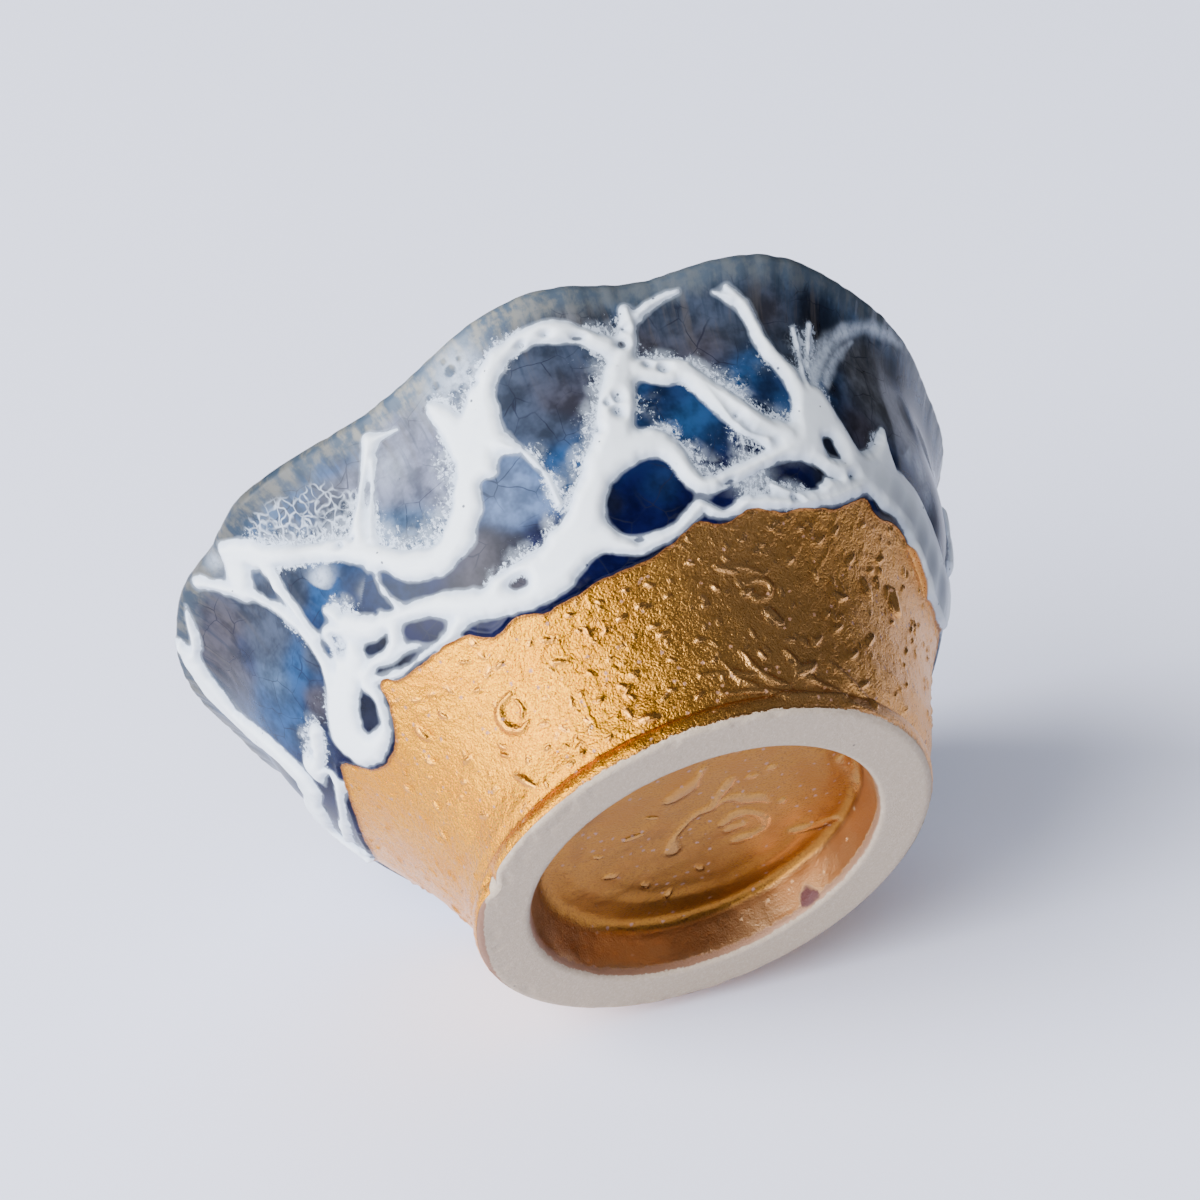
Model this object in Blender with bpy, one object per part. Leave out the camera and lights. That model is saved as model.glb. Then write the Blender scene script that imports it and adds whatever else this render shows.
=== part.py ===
"""Small lobed sake cup, fired in one piece, standing on a turned foot ring.

Metres, +Z up, the foot ring's flat underside at z = 0 and the middle of the
bounding box on the Z axis.
"""
import math

import bmesh
import bpy

for thing in list(bpy.data.objects):
    bpy.data.objects.remove(thing, do_unlink=True)

MM = 0.001

# Overall sizes
CUP_HEIGHT = 39.1 * MM
RIM_RADIUS = 39.2 * MM
WAIST_RADIUS = 21.2 * MM
WALL_THICKNESS = 3.4 * MM
RIM_THICKNESS = 2.6 * MM
FLOOR_THICKNESS = 3.6 * MM

# Foot ring and the recess inside it
FOOT_RADIUS = 21.5 * MM
FOOT_INNER_RADIUS = 16.6 * MM
FOOT_CHAMFER = 0.7 * MM
LIP_HEIGHT = 2.0 * MM
GROOVE_HEIGHT = 2.7 * MM
GROOVE_WIDTH = 0.9 * MM
GROOVE_DEPTH = 0.35 * MM
RECESS_DEPTH = 5.0 * MM
RECESS_SLOPE = 1.1 * MM
RECESS_FILLET = 1.3 * MM

# The hand-turned body sits a little to one side of its foot
BODY_SHIFT_X = 1.1 * MM
BODY_SHIFT_Y = 0.5 * MM
SHIFT_HEIGHT = 5.0 * MM

# Wall flare above the waist: share of the height, share of the flare
WALL_FLARE = (
    (0.07, 0.01),
    (0.10, 0.035),
    (0.17, 0.09),
    (0.31, 0.22),
    (0.485, 0.45),
    (0.665, 0.65),
    (0.84, 0.77),
    (1.00, 1.00),
)

# Pinches pressed into the upper wall: direction, depth at the rim, half-width in degrees
PINCHES = (
    (294.0, 3.9 * MM, 13.5),
    (250.5, 5.8 * MM, 22.5),
    (216.5, 1.1 * MM, 6.0),
    (332.5, 1.9 * MM, 18.0),
    (359.5, 2.8 * MM, 19.0),
    (48.0, 3.4 * MM, 14.5),
    (92.0, 4.6 * MM, 19.0),
    (134.0, 3.4 * MM, 14.0),
    (172.0, 1.6 * MM, 13.0),
)
PINCH_START = 0.30
PINCH_GROWTH = 1.6
RIM_DIP = 0.12

# Chip at the outer edge of the foot ring
CHIP_DIRECTION = 213.0
CHIP_WIDTH = 4.5
CHIP_DEPTH = 0.8 * MM

# Inside of the bowl
BOWL_CURVE = 12.5 * MM
BOWL_FULLNESS = 0.90

# Mesh density
SEGMENTS = 84
WALL_RINGS = 14
INNER_RINGS = 10
BOWL_RINGS = 7
LIP_RINGS = 5


def ease(value):
    """Smooth step from 0 to 1."""
    value = min(max(value, 0.0), 1.0)
    return value * value * (3.0 - 2.0 * value)


def slopes(points):
    """Slope at each station of a curve that never overshoots its stations."""
    secants = []
    for (x0, y0), (x1, y1) in zip(points, points[1:]):
        secants.append((y1 - y0) / (x1 - x0))
    out = [secants[0]]
    for before, after in zip(secants, secants[1:]):
        if before * after <= 0.0:
            out.append(0.0)
        else:
            out.append(2.0 * before * after / (before + after))
    out.append(secants[-1])
    return out


def smooth_curve(points, x):
    """Value at x of a smooth curve through the stations."""
    x = min(max(x, points[0][0]), points[-1][0])
    tangents = slopes(points)
    for index in range(len(points) - 1):
        x0, y0 = points[index]
        x1, y1 = points[index + 1]
        if x <= x1:
            break
    span = x1 - x0
    u = (x - x0) / span
    a = (1.0 + 2.0 * u) * (1.0 - u) ** 2
    b = u * (1.0 - u) ** 2
    c = u * u * (3.0 - 2.0 * u)
    d = u * u * (u - 1.0)
    return a * y0 + b * span * tangents[index] + c * y1 + d * span * tangents[index + 1]


def wall_radius(height):
    """Outer radius of the wall at a height, before the pinches."""
    flare = smooth_curve(WALL_FLARE, height / CUP_HEIGHT)
    return WAIST_RADIUS + flare * (RIM_RADIUS - WAIST_RADIUS)


def pinch(direction):
    """How far the rim is pressed in at a direction in degrees."""
    total = 0.0
    for centre, depth, width in PINCHES:
        off = (direction - centre + 180.0) % 360.0 - 180.0
        total += depth * math.exp(-((off / width) ** 2))
    return total


def pinch_share(height):
    """Share of the pinch that reaches a height."""
    share = (height / CUP_HEIGHT - PINCH_START) / (1.0 - PINCH_START)
    return max(share, 0.0) ** PINCH_GROWTH


def chip(direction):
    """Depth of the chip at a direction in degrees."""
    off = (direction - CHIP_DIRECTION + 180.0) % 360.0 - 180.0
    return CHIP_DEPTH * math.exp(-((off / CHIP_WIDTH) ** 2))


def wall_thickness(height):
    """Wall thickness, thinner towards the rim."""
    share = ease((height / CUP_HEIGHT - 0.45) / 0.55)
    return WALL_THICKNESS + share * (RIM_THICKNESS - WALL_THICKNESS)


def inner_radius(height):
    """Inner radius of the wall at a height, before the pinches."""
    return wall_radius(height) - wall_thickness(height)


def section():
    """Half section from the middle of the bowl to the middle of the recess.

    Each station is a radius, a height and the share of the chip that it takes.
    """
    stations = []
    bowl_floor = RECESS_DEPTH + FLOOR_THICKNESS
    # Bowl floor
    for step in range(1, BOWL_RINGS + 1):
        angle = math.radians(90.0) * step / (BOWL_RINGS + 1)
        height = bowl_floor + BOWL_CURVE * (1.0 - math.cos(angle))
        radius = inner_radius(height) * math.sin(angle) ** BOWL_FULLNESS
        stations.append((radius, height, 0.0))
    # Inner wall
    lip_radius = RIM_THICKNESS / 2.0
    bottom = bowl_floor + BOWL_CURVE
    top = CUP_HEIGHT - lip_radius
    for step in range(INNER_RINGS + 1):
        height = bottom + (top - bottom) * step / INNER_RINGS
        stations.append((inner_radius(height), height, 0.0))
    # Rounded rim
    middle = wall_radius(top) - lip_radius
    for step in range(1, LIP_RINGS + 1):
        angle = math.pi * (1.0 - step / (LIP_RINGS + 1))
        radius = middle + lip_radius * math.cos(angle)
        stations.append((radius, top + lip_radius * math.sin(angle), 0.0))
    # Outer wall
    bottom = GROOVE_HEIGHT + GROOVE_WIDTH
    for step in range(WALL_RINGS + 1):
        height = top + (bottom - top) * step / WALL_RINGS
        stations.append((wall_radius(height), height, 0.0))
    # Turned groove and foot lip
    stations.append((wall_radius(GROOVE_HEIGHT) - GROOVE_DEPTH, GROOVE_HEIGHT, 0.0))
    stations.append((FOOT_RADIUS - GROOVE_DEPTH, LIP_HEIGHT, 0.4))
    stations.append((FOOT_RADIUS, (LIP_HEIGHT + FOOT_CHAMFER) / 2.0, 1.0))
    stations.append((FOOT_RADIUS - 0.15 * FOOT_CHAMFER, FOOT_CHAMFER * 0.45, 1.0))
    # Flat underside
    stations.append((FOOT_RADIUS - FOOT_CHAMFER, 0.0, 0.7))
    stations.append(((FOOT_RADIUS + FOOT_INNER_RADIUS) / 2.0, 0.0, 0.0))
    stations.append((FOOT_INNER_RADIUS, 0.0, 0.0))
    # Recess wall, its fillet and the recess floor
    floor_edge = FOOT_INNER_RADIUS - RECESS_SLOPE
    stations.append((FOOT_INNER_RADIUS - 0.3 * RECESS_SLOPE, RECESS_DEPTH * 0.12, 0.0))
    stations.append((floor_edge, RECESS_DEPTH - RECESS_FILLET, 0.0))
    for step in (1, 2):
        angle = math.radians(45.0 * step)
        radius = floor_edge - RECESS_FILLET * (1.0 - math.cos(angle))
        height = RECESS_DEPTH - RECESS_FILLET * (1.0 - math.sin(angle))
        stations.append((radius, height, 0.0))
    stations.append(((floor_edge - RECESS_FILLET) * 0.5, RECESS_DEPTH, 0.0))
    return stations


def place(radius, height, direction, chip_share):
    """Position of one point of the section at a direction in degrees."""
    press = pinch(direction)
    radius -= press * pinch_share(height)
    radius -= chip(direction) * chip_share
    lift = press * RIM_DIP * max(height / CUP_HEIGHT, 0.0) ** 3
    shift = min(max(height, 0.0) / SHIFT_HEIGHT, 1.0)
    angle = math.radians(direction)
    x = radius * math.cos(angle) + BODY_SHIFT_X * shift
    y = radius * math.sin(angle) + BODY_SHIFT_Y * shift
    return (x, y, height - lift)


def build_cup():
    """Closed body of the cup as one mesh."""
    body = bmesh.new()
    rings = []
    for radius, height, chip_share in section():
        ring = []
        for index in range(SEGMENTS):
            direction = 360.0 * index / SEGMENTS
            ring.append(body.verts.new(place(radius, height, direction, chip_share)))
        rings.append(ring)
    bowl_middle = body.verts.new((BODY_SHIFT_X, BODY_SHIFT_Y, RECESS_DEPTH + FLOOR_THICKNESS))
    recess_middle = body.verts.new((BODY_SHIFT_X, BODY_SHIFT_Y, RECESS_DEPTH))
    for index in range(SEGMENTS):
        after = (index + 1) % SEGMENTS
        body.faces.new((bowl_middle, rings[0][index], rings[0][after]))
        body.faces.new((recess_middle, rings[-1][after], rings[-1][index]))
        for upper, lower in zip(rings, rings[1:]):
            body.faces.new((upper[index], lower[index], lower[after], upper[after]))
    bmesh.ops.recalc_face_normals(body, faces=body.faces)
    low = [min(v.co[axis] for v in body.verts) for axis in range(2)]
    high = [max(v.co[axis] for v in body.verts) for axis in range(2)]
    for vertex in body.verts:
        vertex.co.x -= (low[0] + high[0]) / 2.0
        vertex.co.y -= (low[1] + high[1]) / 2.0
    mesh = bpy.data.meshes.new("sake_cup")
    body.to_mesh(mesh)
    body.free()
    for polygon in mesh.polygons:
        polygon.use_smooth = True
    return mesh


def glazed_ceramic():
    """Deep blue glossy glaze."""
    material = bpy.data.materials.new("glazed_ceramic")
    material.use_nodes = True
    shader = material.node_tree.nodes["Principled BSDF"]
    shader.inputs["Base Color"].default_value = (0.10, 0.14, 0.24, 1.0)
    shader.inputs["Roughness"].default_value = 0.18
    shader.inputs["Metallic"].default_value = 0.0
    material.diffuse_color = (0.10, 0.14, 0.24, 1.0)
    return material


cup_mesh = build_cup()
cup_mesh.materials.append(glazed_ceramic())
cup = bpy.data.objects.new("sake_cup", cup_mesh)
bpy.context.scene.collection.objects.link(cup)
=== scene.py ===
"""Looks of the lobed sake cup: crackled blue glaze under a raised white net, gold lustre below."""

import math

import bpy
import numpy as np
from mathutils import Matrix, Vector


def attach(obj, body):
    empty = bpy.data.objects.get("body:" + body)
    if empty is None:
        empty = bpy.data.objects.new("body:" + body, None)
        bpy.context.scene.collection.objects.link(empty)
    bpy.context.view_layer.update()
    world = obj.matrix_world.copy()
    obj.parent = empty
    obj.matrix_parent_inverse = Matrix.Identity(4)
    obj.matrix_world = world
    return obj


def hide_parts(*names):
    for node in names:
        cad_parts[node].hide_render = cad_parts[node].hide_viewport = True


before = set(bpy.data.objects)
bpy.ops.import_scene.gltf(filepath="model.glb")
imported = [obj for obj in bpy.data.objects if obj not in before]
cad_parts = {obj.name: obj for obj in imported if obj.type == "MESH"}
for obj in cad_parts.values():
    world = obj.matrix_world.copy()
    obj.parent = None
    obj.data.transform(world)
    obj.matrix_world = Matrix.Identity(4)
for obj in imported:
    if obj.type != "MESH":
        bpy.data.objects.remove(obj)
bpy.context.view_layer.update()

# Form of the cup in millimetres, the same named sizes as the solid
HEIGHT = 39.1
RIM_RADIUS = 39.2
WAIST_RADIUS = 21.2
WALL = 3.4
LIP = 2.6
FLOOR = 3.6
FOOT_RADIUS = 21.5
FOOT_INNER = 16.6
CHAMFER = 0.7
LIP_HEIGHT = 2.0
GROOVE_HEIGHT = 2.7
GROOVE_WIDTH = 0.9
GROOVE_DEPTH = 0.35
RECESS = 5.0
RECESS_SLOPE = 1.1
RECESS_FILLET = 1.3
SHIFT = (1.1, 0.5)
SHIFT_HEIGHT = 5.0
FLARE = (
    (0.07, 0.01), (0.10, 0.035), (0.17, 0.09), (0.31, 0.22),
    (0.485, 0.45), (0.665, 0.65), (0.84, 0.77), (1.0, 1.0),
)
# Direction, depth and half-width in degrees of each pinch
PINCHES = (
    (294.0, 3.9, 13.5), (250.5, 5.8, 22.5), (216.5, 1.1, 6.0), (332.5, 1.9, 18.0), (359.5, 2.8, 19.0),
    (48.0, 3.4, 14.5), (92.0, 4.6, 19.0), (134.0, 3.4, 14.0), (172.0, 1.6, 13.0),
)
PINCH_START = 0.30
PINCH_GROWTH = 1.6
RIM_DIP = 0.12
CHIP_DIRECTION = 213.0
CHIP_WIDTH = 4.5
CHIP_DEPTH = 0.8
BOWL_CURVE = 12.5
BOWL_FULLNESS = 0.90
FOOT_MIDDLE = (-0.206, -0.009)
BODY_MIDDLE = (FOOT_MIDDLE[0] + SHIFT[0], FOOT_MIDDLE[1] + SHIFT[1])
# Where the outer wall ends and the foot begins: radius and height
FOOT_START = (FOOT_RADIUS - 0.22, 0.3)

# Camera of the photograph, in the frame of the standing cup
VIEW_BELOW = 34.400
VIEW_ROLL = 24.288
VIEW_FIELD = 18.0
FOOT_PIXEL = (707.18, 866.61)
FOOT_DISTANCE = 331.64
IMAGE = 1200.0
CENTRE = IMAGE / 2
TABLE_PITCH = 29.0
PIXELS_PER_MM = 10.6
# Side of the wall that the photograph shows, in degrees, and the margin in which it gives way to the rest
SEEN_DIRECTION = 270.0
SEEN_HALF = 94.0
SEEN_MARGIN = 10.0


def smooth(x, low=0.0, high=1.0):
    """Smooth step of an array from 0 at low to 1 at high."""
    t = np.clip((x - low) / (high - low), 0.0, 1.0)
    return t * t * (3.0 - 2.0 * t)


def near_turn(deg, centre):
    """Direction as seen from a centre, within half a turn."""
    return (deg - centre + 180.0) % 360.0 - 180.0


def curve(points, x):
    """Smooth curve through stations, the same as in the solid."""
    px = np.array([p[0] for p in points])
    py = np.array([p[1] for p in points])
    cut = np.diff(py) / np.diff(px)
    before, after = cut[:-1], cut[1:]
    total = np.where(before + after == 0, 1, before + after)
    mid = np.where(before * after > 0, 2 * before * after / total, 0.0)
    m = np.concatenate([[cut[0]], mid, [cut[-1]]])
    x = np.clip(x, px[0], px[-1])
    i = np.clip(np.searchsorted(px, x, side="left") - 1, 0, len(px) - 2)
    h = px[i + 1] - px[i]
    u = (x - px[i]) / h
    return ((1 + 2 * u) * (1 - u) ** 2 * py[i] + u * (1 - u) ** 2 * h * m[i]
            + u * u * (3 - 2 * u) * py[i + 1] + u * u * (u - 1) * h * m[i + 1])


def wall_radius(z):
    """Outer radius of the wall at a height, before the pinches."""
    return WAIST_RADIUS + curve(FLARE, z / HEIGHT) * (RIM_RADIUS - WAIST_RADIUS)


def inner_radius(z):
    """Inner radius of the wall at a height, before the pinches."""
    share = smooth((z / HEIGHT - 0.45) / 0.55)
    return wall_radius(z) - (WALL + share * (LIP - WALL))


def rim_arc(start, end):
    """Stations of the rounded rim between two angles in degrees."""
    lip = LIP / 2
    top = HEIGHT - lip
    middle = wall_radius(np.array([top]))[0] - lip
    a = np.radians(np.linspace(start, end, 40))
    return np.stack([middle + lip * np.cos(a), top + lip * np.sin(a)], 1)


def bowl_section():
    """Half section of the bowl from its middle to the top of the rim."""
    bottom = RECESS + FLOOR
    a = np.radians(np.linspace(0.0, 90.0, 200))
    z = bottom + BOWL_CURVE * (1 - np.cos(a))
    floor = np.stack([inner_radius(z) * np.sin(a) ** BOWL_FULLNESS, z], 1)
    z = np.linspace(bottom + BOWL_CURVE, HEIGHT - LIP / 2, 300)[1:]
    return np.concatenate([floor, np.stack([inner_radius(z), z], 1), rim_arc(180.0, 90.0)[1:]])


def through(knots, count):
    """Smooth line through its knots, without its first point."""
    t = np.linspace(0, 1, count)[1:] * (len(knots) - 1)
    i = np.minimum(t.astype(int), len(knots) - 2)
    f = (t - i)[:, None]
    pad = np.concatenate([knots[:1] * 2 - knots[1:2], knots, knots[-1:] * 2 - knots[-2:-1]])
    p0, p1, p2, p3 = pad[i], pad[i + 1], pad[i + 2], pad[i + 3]
    square = (2 * p0 - 5 * p1 + 4 * p2 - p3) * f ** 2
    cube = (3 * p1 - p0 - 3 * p2 + p3) * f ** 3
    return 0.5 * ((2 * p1) + (p2 - p0) * f + square + cube)


def wall_section():
    """Half section of the outer wall from the top of the rim over the groove to the foot lip."""
    z = np.linspace(HEIGHT - LIP / 2, GROOVE_HEIGHT + GROOVE_WIDTH, 700)[1:]
    wall = np.concatenate([rim_arc(90.0, 0.0), np.stack([wall_radius(z), z], 1)])
    last = wall[-1]
    knots = np.array([
        last,
        (last[0] - 0.12, GROOVE_HEIGHT + 0.45),
        (last[0] - GROOVE_DEPTH, GROOVE_HEIGHT),
        (FOOT_RADIUS - GROOVE_DEPTH - 0.05, LIP_HEIGHT + 0.12),
        (FOOT_RADIUS - 0.1, LIP_HEIGHT - 0.25),
        (FOOT_RADIUS, 1.3),
        (FOOT_RADIUS - 0.02, 0.75),
        FOOT_START,
    ])
    return np.concatenate([wall, through(knots, 160)])


def foot_section():
    """Half section of the flat underside and of the recess, to the middle of its floor."""
    edge = FOOT_INNER - RECESS_SLOPE
    foot = [
        FOOT_START,
        (FOOT_RADIUS - 0.45, 0.09),
        (FOOT_RADIUS - CHAMFER, 0.0),
        (FOOT_INNER + 0.25, 0.0),
        (FOOT_INNER, 0.06),
        (FOOT_INNER - 0.2, 0.3),
        (FOOT_INNER - 0.3 * RECESS_SLOPE, RECESS * 0.12),
        (edge + 0.1, RECESS - RECESS_FILLET - 0.4),
    ]
    for k in range(13):
        b = math.radians(7.5 * k)
        foot.append((edge - RECESS_FILLET * (1 - math.cos(b)), RECESS - RECESS_FILLET * (1 - math.sin(b))))
    foot.append((0.02, RECESS))
    return np.array(foot)


def measured(section):
    """Radius, height and running length of a half section."""
    length = np.concatenate([[0], np.cumsum(np.hypot(*np.diff(section, axis=0).T))])
    return section[:, 0], section[:, 1], length


BOWL = measured(bowl_section())
OUTER = measured(wall_section())
FOOT = measured(foot_section())
WALL_LENGTH = OUTER[2][-1]
BOWL_LENGTH = BOWL[2][-1]


def pinch(deg):
    """How far the rim is pressed in at a direction."""
    total = np.zeros_like(deg)
    for centre, depth, width in PINCHES:
        total += depth * np.exp(-((near_turn(deg, centre) / width) ** 2))
    return total


def form(section, deg, s):
    """Points of the plain turned and pinched form, in millimetres in the part's frame."""
    radius = np.interp(s, section[2], section[0])
    z = np.interp(s, section[2], section[1])
    press = pinch(deg)
    share = np.maximum((z / HEIGHT - PINCH_START) / (1 - PINCH_START), 0.0) ** PINCH_GROWTH
    chip = CHIP_DEPTH * np.exp(-((near_turn(deg, CHIP_DIRECTION) / CHIP_WIDTH) ** 2))
    chip = chip * smooth(z, 2.1, 1.2) * smooth(radius, FOOT_RADIUS - 1.6, FOOT_RADIUS - 0.6)
    radius = radius - press * share - chip
    lift = press * RIM_DIP * np.maximum(z / HEIGHT, 0.0) ** 3
    shift = np.minimum(np.maximum(z, 0.0) / SHIFT_HEIGHT, 1.0)
    a = np.radians(deg)
    x = radius * np.cos(a) + SHIFT[0] * shift + FOOT_MIDDLE[0]
    y = radius * np.sin(a) + SHIFT[1] * shift + FOOT_MIDDLE[1]
    return np.stack([x, y, z - lift], -1)


# View of the photograph
FOCAL = IMAGE / 2 / math.tan(math.radians(VIEW_FIELD) / 2)


def camera_axes():
    """Right, up and backward axes of the photograph's camera."""
    below, roll = math.radians(VIEW_BELOW), math.radians(VIEW_ROLL)
    back = np.array([0.0, -math.cos(below), -math.sin(below)])
    up = np.array([0.0, -math.sin(below), math.cos(below)])
    side = np.array([1.0, 0.0, 0.0])
    return math.cos(roll) * side - math.sin(roll) * up, math.sin(roll) * side + math.cos(roll) * up, back


CAM_RIGHT, CAM_UP, CAM_BACK = camera_axes()
CAM_AXES = np.stack([CAM_RIGHT, CAM_UP, CAM_BACK])
FOOT_RAY = np.array([(FOOT_PIXEL[0] - CENTRE) / FOCAL, -(FOOT_PIXEL[1] - CENTRE) / FOCAL, -1.0])
CAM_PLACE = -(FOOT_RAY * FOOT_DISTANCE) @ CAM_AXES + np.array([FOOT_MIDDLE[0], FOOT_MIDDLE[1], 0.0])


def to_pixels(points):
    """Photograph pixels of points in the part's frame."""
    c = (points - CAM_PLACE) @ CAM_AXES.T
    return np.stack([CENTRE + FOCAL * c[..., 0] / -c[..., 2], CENTRE - FOCAL * c[..., 1] / -c[..., 2]], -1)


def seen_wall():
    """Pixels of a coarse grid on the outer wall, with its directions and wall lengths."""
    half = SEEN_HALF + SEEN_MARGIN
    turned = np.linspace(SEEN_DIRECTION - half, SEEN_DIRECTION + half, 500)
    deg, s = np.meshgrid(turned, np.linspace(0.2, WALL_LENGTH, 220), indexing="ij")
    points = form(OUTER, deg, s)
    outward = np.cross(np.gradient(points, axis=1), np.gradient(points, axis=0))
    facing = np.einsum("ijk,ijk->ij", outward, CAM_PLACE - points)
    pixels = to_pixels(points)
    pixels[facing < 0] = 1e6
    return pixels.reshape(-1, 2), deg.ravel(), s.ravel()


SEEN_PIXELS, SEEN_DEG, SEEN_S = seen_wall()
TURN_STEP = 0.05
LENGTH_STEP = 0.03


def onto_wall(pixels):
    """Direction in degrees and wall length in mm where each photograph pixel meets the outer wall."""
    pixels = np.asarray(pixels, float)
    nearest = np.array([np.argmin(((SEEN_PIXELS - p) ** 2).sum(1)) for p in pixels])
    start = SEEN_DEG[nearest], SEEN_S[nearest]
    deg, s = start
    for _ in range(4):
        q = to_pixels(form(OUTER, deg, s))
        qa = to_pixels(form(OUTER, deg + TURN_STEP, s)) - q
        qb = to_pixels(form(OUTER, deg, s + LENGTH_STEP)) - q
        det = qa[:, 0] * qb[:, 1] - qa[:, 1] * qb[:, 0]
        det = np.where(np.abs(det) < 1e-3, 1e-3, det)
        d = pixels - q
        step_a = (d[:, 0] * qb[:, 1] - d[:, 1] * qb[:, 0]) / det * TURN_STEP
        step_b = (qa[:, 0] * d[:, 1] - qa[:, 1] * d[:, 0]) / det * LENGTH_STEP
        deg = np.clip(deg + np.clip(step_a, -0.6, 0.6), start[0] - 0.8, start[0] + 0.8)
        s = np.clip(s + np.clip(step_b, -0.3, 0.3), start[1] - 0.35, start[1] + 0.35)
    return deg, s


def radius_at(s):
    """Plain radius of the outer wall at a wall length."""
    return np.interp(s, OUTER[2], OUTER[0])


def pixel_scale(deg, s):
    """Change of pixel per millimetre round the wall and down it, as two vectors."""
    q = to_pixels(form(OUTER, deg, s))
    arc = np.radians(TURN_STEP) * radius_at(s)
    a = (to_pixels(form(OUTER, deg + TURN_STEP, s)) - q) / arc[:, None]
    b = (to_pixels(form(OUTER, deg, s + LENGTH_STEP)) - q) / LENGTH_STEP
    return a, b


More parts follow.
